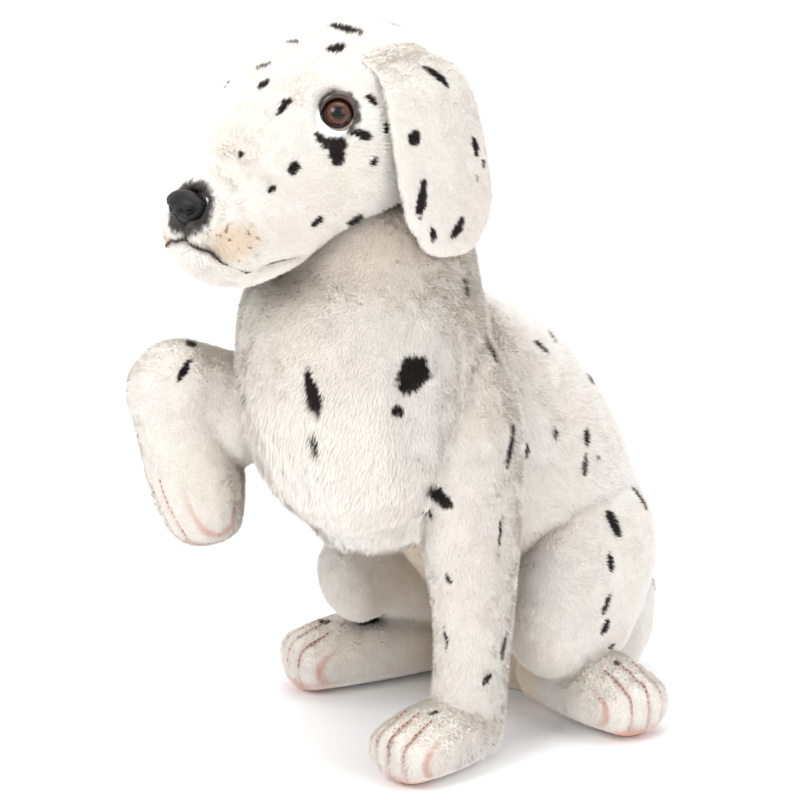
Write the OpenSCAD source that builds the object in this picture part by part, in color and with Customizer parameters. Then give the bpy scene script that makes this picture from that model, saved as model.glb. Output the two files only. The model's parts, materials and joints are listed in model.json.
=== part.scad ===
// Plush spotted puppy, sitting with its right forepaw raised.
// Millimetres. The origin is the middle of the seat, on the floor. +Z is up,
// the dog looks towards -Y and its left side is +X.

/* [Body] */
// Width of the chest
chest_w = 136; // [120:1:150]
// Width of the body at the seat
seat_w = 132; // [115:1:145]
// Distance from the middle of the seat forward to the middle of the chest
body_l = 174; // [160:1:190]
// Height of the middle of the neck ball
neck_h = 278; // [265:1:290]
// Diameter of the neck ball that the head turns on
neck_d = 110; // [98:1:112]

/* [Head] */
// Width of the skull
head_w = 110; // [100:1:118]
// Distance from the middle of the skull forward to the tip of the muzzle
head_l = 112; // [100:1:122]
// Width of the muzzle
muzzle_w = 64; // [56:1:70]
// Height of the middle of the skull above the neck ball's middle
skull_rise = 80; // [74:1:86]
// Turn of the head to the dog's right
head_yaw = 15; // [0:1:20]
// Downward tilt of the head
head_pitch = 9; // [4:1:12]
// Diameter of a glass-like eye
eye_d = 16; // [13:0.5:18]
// Width of the moulded nose
nose_w = 24; // [20:0.5:27]

/* [Ears] */
// Length of an ear from its fold to its tip
ear_l = 118; // [100:1:124]
// Greatest width of an ear
ear_w = 62; // [52:1:68]
// Thickness of an ear
ear_t = 10; // [8:0.5:12]

/* [Legs and tail] */
// Thickness of the foreleg at the ankle
leg_d = 38; // [34:1:42]
// Width of a forepaw
paw_w = 50; // [44:1:56]
// Diameter of the shoulder lobe and the knee of the raised leg
lobe_d = 62; // [54:1:66]
// Width of a hind foot
foot_w = 50; // [44:1:56]
// Length of the tail
tail_l = 150; // [120:1:170]
// Thickness of the tail at its root
tail_d = 27; // [22:1:32]

/* [Cloth and clearances] */
// Thickness of the plush, backing and pile together
plush = 3; // [2:0.5:4]
// Gap between soft parts that turn on each other
gap = 0.5; // [0.4:0.1:0.8]
// Radial clearance of a pin in its hole
pin_clearance = 0.08; // [0.05:0.01:0.1]
// Clearance of a cut around a part held fast in it
seat_clearance = 0.12; // [0.1:0.01:0.2]

/* [Hardware] */
// Diameter of the pin that the head turns on
neck_pin_d = 10; // [8:0.5:12]
// Diameter of the bolt that the raised leg turns on
bolt_d = 6; // [5:0.5:8]
// Diameter of a joint disc
disc_d = 34; // [28:1:36]
// Thickness of a joint disc
disc_t = 2.5; // [2:0.5:3.5]
// Diameter of the armature wire
wire_d = 3; // [2:0.5:4]
// Diameter of the round patch in the seat
patch_d = 68; // [50:1:72]

/* [Hidden] */

sides = 16;
inner_sides = 12;
ball_fn = 24;
pin_fn = 48;
big = 600;

coat = "ivory";
patch_colour = "white";
fibre = "whitesmoke";
board = "peru";
steel = "silver";
plastic = "dimgray";
lid_colour = "saddlebrown";
black = "black";

// Between the cloth and what it holds
skin_gap = 0.05;

neck_r = neck_d / 2;
lobe_r = lobe_d / 2;
eye_r = eye_d / 2;
lid_t = 1.6;
shank_r = 2.5;
washer_r = eye_r + 3;
washer_t = 2;

chest_y = -body_l;
neck_at = [0, chest_y, neck_h];
head_at = neck_at + [-8, -12, skull_rise];

// ---- lofted soft shapes -------------------------------------------------
// A station is [x, y, z, radius across, radius over], and a loft is a closed
// tube of elliptical rings through its stations.

function unit(v) = v / norm(v);
function held(s, i) = s[max(0, min(len(s) - 1, i))];
function spline(a, b, c, d, t) =
    0.5 * (2 * b + (c - a) * t + (2 * a - 5 * b + 4 * c - d) * t * t + (3 * b - a - 3 * c + d) * t * t * t);
function refined(s, steps) = [
    for (i = [0 : len(s) - 2]) for (j = [0 : steps - 1])
        spline(held(s, i - 1), s[i], s[i + 1], held(s, i + 2), j / steps),
    s[len(s) - 1]];
function place(q) = [q[0], q[1], q[2]];
function heading(s, i) = unit(place(held(s, i + 1)) - place(held(s, i - 1)));
function across(t, side) = unit(side - (side * t) * t);
function ring(c, t, side, ra, ro, n) =
    let (u = across(t, side), w = cross(t, u))
    [for (j = [0 : n - 1]) c + u * ra * cos(360 * j / n) + w * ro * sin(360 * j / n)];
function dome(q, t, side, bulge, angles, n) = [
    for (f = angles) ring(place(q) + t * bulge * sin(f) * q[4], t, side, q[3] * cos(f), q[4] * cos(f), n)];

// Inner surfaces (t > 0 in the forms below) take fewer sides and rings than the outside does
module loft(stations, side = [1, 0, 0], inner = false, start = 0.6, end = 0.6) {
    n = inner ? inner_sides : sides;
    s = refined(stations, inner ? 1 : 2);
    last = len(s) - 1;
    cap = inner ? [70, 35] : [76, 50, 25];
    rings = concat(
        start > 0 ? dome(s[0], heading(s, 0), side, -start, cap, n) : [],
        [for (i = [0 : last]) ring(place(s[i]), heading(s, i), side, s[i][3], s[i][4], n)],
        end > 0
            ? dome(s[last], heading(s, last), side, end, [for (i = [len(cap) - 1 : -1 : 0]) cap[i]], n)
            : []);
    m = len(rings);
    faces = concat(
        [[for (j = [0 : n - 1]) j]],
        [for (i = [0 : m - 2]) for (j = [0 : n - 1])
            let (a = i * n + j, b = i * n + (j + 1) % n, c = a + n, d = b + n)
            each [[a, c, d], [a, d, b]]],
        [[for (j = [n - 1 : -1 : 0]) (m - 1) * n + j]]);
    polyhedron(points = [for (r = rings) each r], faces = faces, convexity = 6);
}

// A ball, and a straight rod between two points
module ball(at, r) translate(at) sphere(r, $fn = ball_fn);
module rod(a, b, r, fn = pin_fn) along(a, b - a) cylinder(h = norm(b - a), r = r, $fn = fn);
module along(at, d) translate(at) rotate([0, acos(d[2] / norm(d)), atan2(d[1], d[0])]) children();
// The bends of a wire are a little thicker than the wire, as a crimped bend is
module wire(points, r, fn = pin_fn) {
    for (i = [0 : len(points) - 2]) rod(points[i], points[i + 1], r, fn);
    for (i = [1 : len(points) - 2]) translate(points[i]) sphere(r * 1.2, $fn = fn);
}

// ---- body ---------------------------------------------------------------
seat_r = seat_w / 2;
chest_r = chest_w / 2;
function trunk_stations(t) = [
    [0, 0, t - 3, seat_r * 0.7 - t, seat_r * 0.56 - t],
    [0, 0, 30, seat_r - t, seat_r * 0.82 - t],
    [0, -0.05 * body_l, 75, seat_r * 1.05 - t, seat_r * 0.9 - t],
    [0, -0.22 * body_l, 125, seat_r * 1.03 - t, seat_r * 1.08 - t],
    [0, -0.46 * body_l, 172, chest_r * 0.98 - t, chest_r * 1.03 - t],
    [0, -0.68 * body_l, neck_h - 72, chest_r * 0.9 - t, chest_r * 0.8 - t]];
function ribcage_stations(t) = [
    [0, chest_y + 10, neck_h - 126, chest_r * 0.66 - t, chest_r * 0.64 - t],
    [0, chest_y + 2, neck_h - 100, chest_r * 0.9 - t, chest_r * 0.94 - t],
    [0, chest_y - 4, neck_h - 62, chest_r - t, chest_r * 1.04 - t],
    [0, chest_y - 7, neck_h - 32, chest_r * 0.99 - t, chest_r * 1.02 - t],
    [0, chest_y - 7, neck_h - 8, chest_r * 0.9 - t, chest_r * 0.93 - t]];

module body_form(t = 0) {
    loft(trunk_stations(t), inner = t > 0, start = 0);
    loft(ribcage_stations(t), inner = t > 0, end = 0.3);
    ball(neck_at, neck_r - t);
}

// The raised leg's lobe turns on an axis square to the side of the chest
lobe_turn = 203;
lobe_out = [cos(lobe_turn), sin(lobe_turn), 0];
lobe_at = [0, chest_y + 2, neck_h - 84] + lobe_out * (chest_r + 12);
tail_r = tail_d / 2;
tail_at = [0, seat_r * 0.82 + 3, tail_r + 6];
tail_room = 3;

module joint_cups(t = 0) {
    ball(lobe_at, lobe_r + gap + t);
    ball(tail_at, tail_r + tail_room + t);
    neck_funnel(t);
}
// The opening in the neck ball that the head's post leans in
module neck_funnel(t = 0) translate(neck_at)
    cylinder(h = neck_r + 1, r1 = fork_room + t, r2 = fork_room + 7 + t, $fn = 24);
module below_floor() translate([-big / 2, -big / 2, -big]) cube(big);

module body_skin() difference() {
    body_form();
    difference() {
        body_form(plush);
        joint_cups(plush);
    }
    joint_cups();
    seat_patch_form(seat_clearance);
    bolt_form(seat_clearance);
    tail_peg_form(seat_clearance);
    below_floor();
}
chest_seam_y = chest_y - 12;
module front_of_seam() translate([-big / 2, chest_seam_y - big, -1]) cube(big);
module left_half() translate([0, -big / 2, -1]) cube(big);

module chest_panel() color(coat) intersection() {
    body_skin();
    front_of_seam();
}
module back_left_panel() color(coat) intersection() {
    difference() {
        body_skin();
        front_of_seam();
    }
    left_half();
}
module back_right_panel() color(coat) difference() {
    body_skin();
    front_of_seam();
    left_half();
}

module seat_patch_form(c = 0) translate([0, 0, -c])
    cylinder(h = plush + 2 * c, d = patch_d + 2 * c, $fn = pin_fn);
module seat_patch() color(patch_colour) seat_patch_form();

// A flat round bag of pellets weighs the seat down
bag_r = seat_r * 0.42;
bag_h = 26;
module pellet_bag_form(c = 0) translate([0, 0, plush + 4 - c]) {
    cylinder(h = bag_h + 2 * c, r = bag_r - bag_h / 2 + c, $fn = 32);
    translate([0, 0, bag_h / 2 + c]) rotate_extrude($fn = 32)
        translate([bag_r - bag_h / 2, 0]) circle(bag_h / 2 + c, $fn = 24);
}
module pellet_bag() color(board) pellet_bag_form();

module body_stuffing() color(fibre) difference() {
    body_form(plush + skin_gap);
    joint_cups(plush + skin_gap);
    ball(neck_at, fork_room);
    translate([0, 0, plush + skin_gap - big]) translate([-big / 2, -big / 2, 0]) cube(big);
    pellet_bag_form(seat_clearance);
    neck_socket_form(seat_clearance);
    bolt_form(seat_clearance);
    inner_disc_form(seat_clearance);
    tail_peg_form(seat_clearance);
}

// ---- neck joint: a pin that turns in a socket, with a cross hole for the nod
pin_r = neck_pin_d / 2;
socket_r = pin_r + 4;
socket_h = 52;
socket_floor = 4;
knuckle_r = 7.5;
knuckle_w = 12;
nod_r = 3;
fork_t = 4;
fork_gap = 1;
fork_w = knuckle_w + 2 * (fork_t + fork_gap);
fork_room = norm([fork_w / 2, fork_t]) + 2;
socket_top = neck_at - [0, 0, knuckle_r + 1];
module neck_socket_form(c = 0) translate(socket_top - [0, 0, socket_h + c]) {
    cylinder(h = socket_h + c, r = socket_r + c, $fn = pin_fn);
    cylinder(h = disc_t + 2 * c, r = disc_d / 2 + c, $fn = pin_fn);
}
module neck_socket() color(plastic) difference() {
    neck_socket_form();
    translate(socket_top - [0, 0, socket_h - socket_floor])
        cylinder(h = socket_h, r = pin_r + pin_clearance, $fn = pin_fn);
}
// The nod turns on an axis square to the way that the head faces
module nod_frame() translate(neck_at) rotate([0, 0, -head_yaw]) children();
module sideways(w, r) translate([-w / 2, 0, 0]) rotate([0, 90, 0]) cylinder(h = w, r = r, $fn = pin_fn);
module neck_pin() color(steel) difference() {
    union() {
        translate(socket_top - [0, 0, socket_h - socket_floor - 1])
            cylinder(h = socket_h, r = pin_r, $fn = pin_fn);
        nod_frame() sideways(knuckle_w, knuckle_r);
    }
    nod_frame() sideways(knuckle_w + 8, nod_r + pin_clearance);
}
post_top = skull_rise - 18;
post_r = 4;
fork_top = knuckle_r + fork_gap + fork_t + 2;
module head_post() color(steel) nod_frame() {
    sideways(fork_w, nod_r);
    for (side = [-1, 1]) translate([side * (fork_w - fork_t) / 2 - fork_t / 2, -fork_t, -fork_t])
        cube([fork_t, 2 * fork_t, fork_top + fork_t]);
    translate([-fork_w / 2, -fork_t, fork_top - fork_t]) cube([fork_w, 2 * fork_t, fork_t]);
    translate([0, 0, fork_top - 1]) cylinder(h = post_top - fork_top + 1, r = post_r, $fn = pin_fn);
}
module head_disc() color(board) nod_frame() translate([0, 0, post_top - disc_t]) difference() {
    cylinder(h = disc_t, r = disc_d / 2, $fn = pin_fn);
    translate([0, 0, -1]) cylinder(h = disc_t + 2, r = post_r + seat_clearance, $fn = pin_fn);
}

// ---- shoulder joint of the raised leg -----------------------------------
bolt_r = bolt_d / 2;
// The inner disc lies against the inside of the cup's cloth
bolt_in = lobe_r + gap + plush + disc_t;
bolt_out = 12;
bolt_head_t = 3;
bolt_room = bolt_out + 8;
module bolt_form(c = 0) {
    rod(lobe_at - lobe_out * bolt_in, lobe_at + lobe_out * bolt_out, bolt_r + c);
    rod(lobe_at - lobe_out * (bolt_in + bolt_head_t + c), lobe_at - lobe_out * (bolt_in - c),
        bolt_r * 1.8 + c);
}
module shoulder_bolt() color(steel) {
    rod(lobe_at - lobe_out * (bolt_in + 1), lobe_at + lobe_out * bolt_out, bolt_r);
    rod(lobe_at - lobe_out * (bolt_in + bolt_head_t), lobe_at - lobe_out * bolt_in, bolt_r * 1.8);
}
module disc_form(at, way, c = 0) along(at - way * c, way)
    cylinder(h = disc_t + 2 * c, r = disc_d / 2 + c, $fn = pin_fn);
inner_disc_at = lobe_at - lobe_out * bolt_in;
outer_disc_at = lobe_at + lobe_out * 2;
module inner_disc_form(c = 0) disc_form(inner_disc_at, lobe_out, c);
module shoulder_inner_disc() color(board) difference() {
    inner_disc_form();
    rod(lobe_at - lobe_out * (bolt_in + 1), lobe_at, bolt_r + seat_clearance);
}
module shoulder_outer_disc() color(board) difference() {
    disc_form(outer_disc_at, lobe_out);
    rod(lobe_at, lobe_at + lobe_out * bolt_room, bolt_r + pin_clearance);
}
nut_h = 5;
nut_at = outer_disc_at + lobe_out * (disc_t + 0.3);
nut_r = bolt_r * 1.9;
module shoulder_nut() color(steel) difference() {
    along(nut_at, lobe_out) cylinder(h = nut_h, r = nut_r, $fn = 6);
    rod(lobe_at, lobe_at + lobe_out * bolt_room, bolt_r + seat_clearance);
}

// ---- legs ---------------------------------------------------------------
leg_x = chest_r * 0.78;
leg_y = chest_y + 22;
leg_r = leg_d / 2;
paw_r = paw_w / 2;
function foreleg_stations(t) = [
    [leg_x - 8, leg_y - 8, neck_h - 46, leg_r * 1.15 - t, leg_r * 1.4 - t],
    [leg_x - 3, leg_y - 6, neck_h - 86, leg_r * 1.6 - t, leg_r * 1.85 - t],
    [leg_x - 1, leg_y - 2, 142, leg_r * 1.4 - t, leg_r * 1.6 - t],
    [leg_x, leg_y + 1, 92, leg_r * 1.1 - t, leg_r * 1.25 - t],
    [leg_x - 1, leg_y, 52, leg_r - t, leg_r * 1.08 - t],
    [leg_x - 2, leg_y - 2, 28, leg_r * 1.04 - t, leg_r * 1.12 - t]];
function forepaw_stations(t) = [
    [leg_x - 2, leg_y + 4, 18, paw_r * 0.72 - t, 18 - t],
    [leg_x - 3, leg_y - 16, 20, paw_r * 0.92 - t, 20 - t],
    [leg_x - 7, leg_y - 38, 18.5, paw_r - t, 18.5 - t],
    [leg_x - 11, leg_y - 54, 15.5, paw_r * 0.9 - t, 15.5 - t]];
module foreleg_form(t = 0) {
    loft(foreleg_stations(t), inner = t > 0);
    loft(forepaw_stations(t), inner = t > 0);
}
foreleg_wire = [
    [leg_x, leg_y - 2, neck_h - 140],
    [leg_x - 2, leg_y - 2, 26],
    [leg_x - 7, leg_y - 46, 15]];
// A limb's cloth: the form less its inside, cut where it is sewn to the body
module left_foreleg_skin() color(coat) difference() {
    foreleg_form();
    foreleg_form(plush);
    body_form(-skin_gap);
}
module left_foreleg_stuffing() color(fibre) difference() {
    foreleg_form(plush + skin_gap);
    body_form(-skin_gap);
    wire(foreleg_wire, wire_d / 2 + seat_clearance, 16);
}
module left_foreleg_wire() color(steel) wire(foreleg_wire, wire_d / 2, 24);

hip_x = seat_r * 0.78;
foot_r = foot_w / 2;
function left_thigh(t) = [
    [hip_x - 14, 18, 66, 22 - t, 36 - t],
    [hip_x - 5, -10, 78, 29 - t, 56 - t],
    [hip_x + 1, -40, 80, 31 - t, 58 - t],
    [hip_x + 5, -68, 70, 28 - t, 46 - t],
    [hip_x + 6, -86, 58, 21 - t, 32 - t]];
function left_foot(t) = [
    [hip_x - 16, -42, 22, foot_r * 0.9 - t, 22 - t],
    [hip_x + 12, -54, 22, foot_r - t, 22 - t],
    [hip_x + 37, -62, 20, foot_r * 1.06 - t, 20 - t],
    [hip_x + 55, -66, 17, foot_r * 0.92 - t, 17 - t]];
function right_thigh(t) = [
    [14 - hip_x, 18, 66, 22 - t, 36 - t],
    [4 - hip_x, -8, 78, 29 - t, 54 - t],
    [-6 - hip_x, -42, 84, 29 - t, 54 - t],
    [-14 - hip_x, -76, 80, 25 - t, 40 - t],
    [-16 - hip_x, -98, 70, 19 - t, 28 - t]];
function right_foot(t) = [
    [-4 - hip_x, -26, 21, foot_r * 0.86 - t, 21 - t],
    [-16 - hip_x, -54, 22, foot_r * 0.96 - t, 22 - t],
    [-33 - hip_x, -86, 20, foot_r * 1.02 - t, 20 - t],
    [-45 - hip_x, -106, 17, foot_r * 0.9 - t, 17 - t]];
module left_hindleg_form(t = 0) {
    loft(left_thigh(t), inner = t > 0);
    loft(left_foot(t), side = [0, 1, 0], inner = t > 0);
}
module right_hindleg_form(t = 0) {
    loft(right_thigh(t), inner = t > 0);
    loft(right_foot(t), inner = t > 0);
}
module left_hindleg_skin() color(coat) difference() {
    left_hindleg_form();
    left_hindleg_form(plush);
    body_form(-skin_gap);
}
module left_hindleg_stuffing() color(fibre) difference() {
    left_hindleg_form(plush + skin_gap);
    body_form(-skin_gap);
}
module right_hindleg_skin() color(coat) difference() {
    right_hindleg_form();
    right_hindleg_form(plush);
    body_form(-skin_gap);
}
module right_hindleg_stuffing() color(fibre) difference() {
    right_hindleg_form(plush + skin_gap);
    body_form(-skin_gap);
}

// ---- raised leg: a lobe, a short upper part and a hanging lower part -----
arm_turn = 235;
arm_out = [cos(arm_turn), sin(arm_turn), 0];
arm_side = [-sin(arm_turn), cos(arm_turn), 0];
knee_at = lobe_at + arm_out * (lobe_r - 1) + [0, 0, 13];
knee_r = lobe_r * 0.9;
function upper_stations(t) = [
    concat(lobe_at + arm_out * 6, [lobe_r * 0.9 - t, lobe_r * 0.96 - t]),
    concat(lobe_at + arm_out * 17 + [0, 0, 8], [lobe_r * 0.9 - t, lobe_r * 0.94 - t]),
    concat(knee_at, [knee_r - 0.6 - t, knee_r - 0.6 - t])];
function lower_stations(t) = [
    concat(knee_at - [0, 0, 2], [knee_r - 0.8 - t, knee_r - 0.8 - t]),
    concat(knee_at + [4, 3, -28], [knee_r * 0.98 - t, knee_r * 0.94 - t]),
    concat(knee_at + [8, 6, -54], [knee_r * 1.08 - t, knee_r * 0.9 - t]),
    concat(knee_at + [10, 8, -71], [knee_r * 1.04 - t, knee_r * 0.74 - t])];
module upper_form(t = 0) {
    ball(lobe_at, lobe_r - t);
    loft(upper_stations(t), side = arm_side, inner = t > 0, start = 0, end = 0);
    ball(knee_at, knee_r - t);
}
module lower_form(t = 0) loft(lower_stations(t), side = arm_side, inner = t > 0, start = 0, end = 0.7);
// In this frame the knee is the origin, X is its axis and Y points out along the leg
module knee_frame() translate(knee_at) rotate([0, 0, arm_turn - 90]) children();

link_r = 2;
knee_pin_r = 2;
tongue_w = 5.6;
cheek_t = 3;
cheek_r = 6;
cheek_at = tongue_w / 2 + 0.3;
fork_back = 12;
// The sweep of the lower link when the knee opens
knee_open = 50;
module knee_slot() knee_frame() intersection() {
    sideways(tongue_w + 3, knee_r + 6);
    translate([-tongue_w, -link_r - 1, -big]) cube([2 * tongue_w, big, 2 * big]);
    rotate([knee_open, 0, 0]) translate([-tongue_w, -big, -big])
        cube([2 * tongue_w, big + link_r + 1, 2 * big]);
}
module knee_room() knee_frame() sideways(2 * (cheek_at + cheek_t + 0.5), cheek_r + 2);
module upper_link_form(c = 0) {
    rod(lobe_at + arm_out * 13 + [0, 0, 6], knee_at - arm_out * (fork_back - 2), link_r + c, 24);
    knee_frame() {
        translate([-cheek_at - cheek_t - c, -fork_back - c, -4 - c])
            cube([2 * (cheek_at + cheek_t + c), 4 + 2 * c, 8 + 2 * c]);
        for (side = [-1, 1]) translate([side * (cheek_at + cheek_t / 2) - cheek_t / 2 - c, 0, 0]) {
            rotate([0, 90, 0]) cylinder(h = cheek_t + 2 * c, r = cheek_r + c, $fn = pin_fn);
            translate([0, -fork_back, -4 - c]) cube([cheek_t + 2 * c, fork_back, 8 + 2 * c]);
        }
        sideways(2 * cheek_at + cheek_t, knee_pin_r + c);
    }
}
module raised_upper_skin() color(coat) difference() {
    upper_form();
    upper_form(plush);
    bolt_form(gap);
    knee_slot();
}
module raised_upper_stuffing() color(fibre) difference() {
    upper_form(plush + skin_gap);
    bolt_form(gap);
    disc_form(outer_disc_at, lobe_out, seat_clearance);
    along(nut_at, lobe_out) cylinder(h = nut_h + bolt_out, r = nut_r + gap, $fn = 24);
    upper_link_form(seat_clearance);
    knee_room();
    knee_slot();
}
module raised_upper_link() color(plastic) upper_link_form();
module raised_lower_skin() color(coat) difference() {
    lower_form();
    lower_form(plush);
    upper_form(-gap);
}
lower_link_l = 62;
module lower_link_form(c = 0)
    rod(knee_at - [0, 0, cheek_r - 1], knee_at - [0, 0, lower_link_l], link_r + c, 24);
module raised_lower_stuffing() color(fibre) difference() {
    lower_form(plush + skin_gap);
    upper_form(-gap);
    lower_link_form(seat_clearance);
}
module raised_lower_link() color(plastic) difference() {
    union() {
        lower_link_form();
        knee_frame() sideways(tongue_w, cheek_r);
    }
    knee_frame() sideways(tongue_w + 2, knee_pin_r + pin_clearance);
}

// ---- head ---------------------------------------------------------------
skull_r = head_w / 2;
muzzle_r = muzzle_w / 2;
muzzle_drop = 30;
function head_stations(t) = [
    [0, skull_r * 0.68, 0, skull_r * 0.8 - t, skull_r * 0.8 - t],
    [0, skull_r * 0.34, 1, skull_r * 0.97 - t, skull_r * 0.96 - t],
    [0, -skull_r * 0.15, 1, skull_r - t, skull_r * 0.98 - t],
    [0, -head_l * 0.29, -3, skull_r * 0.94 - t, skull_r * 0.94 - t],
    [0, -head_l * 0.47, -13, skull_r * 0.78 - t, skull_r * 0.86 - t],
    [0, -head_l * 0.64, -muzzle_drop + 5, muzzle_r * 1.1 - t, muzzle_r * 1.2 - t],
    [0, -head_l * 0.8, -muzzle_drop + 2, muzzle_r * 1.04 - t, muzzle_r * 1.08 - t],
    [0, -head_l + 14, -muzzle_drop + 3, muzzle_r * 0.92 - t, muzzle_r * 0.9 - t]];
head_table = refined(head_stations(0), 4);
function head_value(y, k) = lookup(-y, [for (q = head_table) [-q[1], q[k]]]);
// The point of the head's surface at a given y and angle
function head_point(y, a) = [head_value(y, 3) * cos(a), y, head_value(y, 2) + head_value(y, 4) * sin(a)];

module head_pose() translate(head_at) rotate([head_pitch, 0, -head_yaw]) children();
module head_form(t = 0) head_pose() loft(head_stations(t), inner = t > 0);
module neck_hollow(t = 0) ball(neck_at, neck_r + gap + t);

eye_point = head_point(-head_l * 0.32, 34);
eye_out = unit([0.8, -0.52, 0.3]);
shank_l = 16;
washer_at = 14;
module mirrored(side) mirror([side > 0 ? 0 : 1, 0, 0]) children();
module eye_pose(side) head_pose() mirrored(side) along(eye_point - eye_out * eye_r * 0.4, eye_out) children();
module eye_socket(side) eye_pose(side) {
    sphere(eye_r + lid_t + seat_clearance, $fn = ball_fn);
    translate([0, 0, -shank_l - 2]) cylinder(h = shank_l, r = shank_r + seat_clearance, $fn = 16);
    translate([0, 0, -washer_at - seat_clearance])
        cylinder(h = washer_t + 2 * seat_clearance, r = washer_r + seat_clearance, $fn = 24);
}
// A glass-like button with a flat back and a shank
module eye(side) color(black) eye_pose(side) {
    intersection() {
        sphere(eye_r, $fn = ball_fn);
        translate([-big / 2, -big / 2, -eye_r * 0.35]) cube(big);
    }
    translate([0, 0, -shank_l]) cylinder(h = shank_l, r = shank_r, $fn = 24);
}
module left_eye() eye(1);
module right_eye() eye(-1);
// The lid is a hood over the upper half of the eye
module eyelid(side) color(lid_colour) eye_pose(side) difference() {
    sphere(eye_r + lid_t, $fn = ball_fn);
    sphere(eye_r + skin_gap, $fn = ball_fn);
    translate([eye_r * 0.12, -big / 2, -big / 2]) cube(big);
    translate([-big / 2, -big / 2, -eye_r * 0.35 - big]) cube(big);
}
module left_eyelid() eyelid(1);
module right_eyelid() eyelid(-1);
module eye_washer(side) color(plastic) eye_pose(side) translate([0, 0, -washer_at]) difference() {
    cylinder(h = washer_t, r = washer_r, $fn = 32);
    translate([0, 0, -1]) cylinder(h = washer_t + 2, r = shank_r + skin_gap, $fn = 24);
}
module left_eye_washer() eye_washer(1);
module right_eye_washer() eye_washer(-1);

nose_r = nose_w / 2;
nose_shank_r = 3;
nose_shank_l = 30;
nose_at = [0, -head_l + 3, -muzzle_drop + 2 + muzzle_r * 0.5];
module nose_shank(c = 0) translate(nose_at) rotate([-90, 0, 0])
    cylinder(h = nose_shank_l, r = nose_shank_r + c, $fn = 24);
module nose_form(c = 0) head_pose() {
    loft([
        [0, nose_at[1] + 10, nose_at[2] - 1, nose_r * 0.8 + c, nose_r * 0.62 + c],
        [0, nose_at[1] + 3, nose_at[2], nose_r + c, nose_r * 0.74 + c],
        [0, nose_at[1] - 3, nose_at[2], nose_r * 0.86 + c, nose_r * 0.62 + c]], end = 0.5);
    nose_shank(c);
}
module nose() color(black) nose_form();
nose_washer_at = 20;
module nose_washer_form(c = 0) head_pose() translate(nose_at + [0, nose_washer_at - c, 0])
    rotate([-90, 0, 0]) cylinder(h = washer_t + 2 * c, r = 8 + c, $fn = 32);
module nose_washer() color(plastic) difference() {
    nose_washer_form();
    head_pose() nose_shank(skin_gap);
}

// An ear hangs from a round seam roll that lies in a groove of the head
ear_r = ear_w / 2;
ear_half = ear_t / 2;
ear_y = skull_r * 0.24;
roll_angle = 50;
roll_r = ear_half;
roll_l = ear_w * 0.66;
roll_at = head_point(ear_y, roll_angle) + [cos(roll_angle), 0, sin(roll_angle)] * 1;
module ear_groove(side) head_pose() mirrored(side) translate(roll_at + [0, roll_l / 2 + gap + 1, 0])
    rotate([90, 0, 0]) cylinder(h = roll_l + 2 * (gap + 1), r = roll_r + gap, $fn = 24);

module head_skin() difference() {
    head_form();
    difference() {
        head_form(plush);
        neck_hollow(plush);
    }
    neck_hollow();
    for (side = [-1, 1]) {
        eye_socket(side);
        ear_groove(side);
    }
    nose_form(seat_clearance);
    nod_frame() cylinder(h = post_top, r = post_r + seat_clearance, $fn = 24);
}
mouth_z = -muzzle_drop - muzzle_r * 0.34;
gusset_w = 34;
module chin_side() head_pose() translate([-big / 2, -big - head_l * 0.3, mouth_z - big]) cube(big);
module gusset_strip() head_pose() translate([-gusset_w / 2, -big / 2, -big / 2]) cube([gusset_w, big, big]);
module head_left() head_pose() translate([0, -big / 2, -big / 2]) cube(big);
module chin_panel() color(coat) intersection() {
    head_skin();
    chin_side();
}
module head_gusset() color(coat) intersection() {
    difference() {
        head_skin();
        chin_side();
    }
    gusset_strip();
}
module left_face_panel() color(coat) intersection() {
    difference() {
        head_skin();
        chin_side();
        gusset_strip();
    }
    head_left();
}
module right_face_panel() color(coat) difference() {
    head_skin();
    chin_side();
    gusset_strip();
    head_left();
}
module head_stuffing() color(fibre) difference() {
    head_form(plush + skin_gap);
    neck_hollow(plush + skin_gap);
    for (side = [-1, 1]) {
        eye_socket(side);
        ear_groove(side);
    }
    nose_form(seat_clearance);
    nose_washer_form(seat_clearance);
    nod_frame() {
        translate([0, 0, neck_r])
            cylinder(h = post_top - neck_r + seat_clearance, r = post_r + seat_clearance, $fn = 24);
        translate([0, 0, post_top - disc_t - seat_clearance])
            cylinder(h = disc_t + 2 * seat_clearance, r = disc_d / 2 + seat_clearance, $fn = 24);
    }
}

// ---- ears ---------------------------------------------------------------
function off_head(a, out = 0) = head_point(ear_y, a) + [cos(a), 0, sin(a)] * (ear_half + gap + 1 + out);
ear_bottom = off_head(0)[2] - ear_l + skull_r;
function ear_stations(t) = [
    concat(roll_at, [roll_r * 0.5 - t, ear_r * 0.66 - t]),
    concat(off_head(roll_angle - 12), [ear_half * 0.75 - t, ear_r * 0.76 - t]),
    concat(off_head(20, 0.5), [ear_half * 0.94 - t, ear_r * 0.92 - t]),
    concat(off_head(-4, 1), [ear_half - t, ear_r - t]),
    [off_head(0)[0] + 3, ear_y, ear_bottom * 0.65, ear_half - t, ear_r * 0.98 - t],
    [off_head(0)[0] + 3, ear_y - 2, ear_bottom + 8, ear_half * 0.9 - t, ear_r * 0.74 - t]];
module ear_form(side, t = 0) head_pose() mirrored(side) {
    loft(ear_stations(t), start = 0.1, end = 0.5);
    translate(roll_at + [0, roll_l / 2, 0]) rotate([90, 0, 0]) cylinder(h = roll_l, r = roll_r - t, $fn = 24);
}
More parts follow.
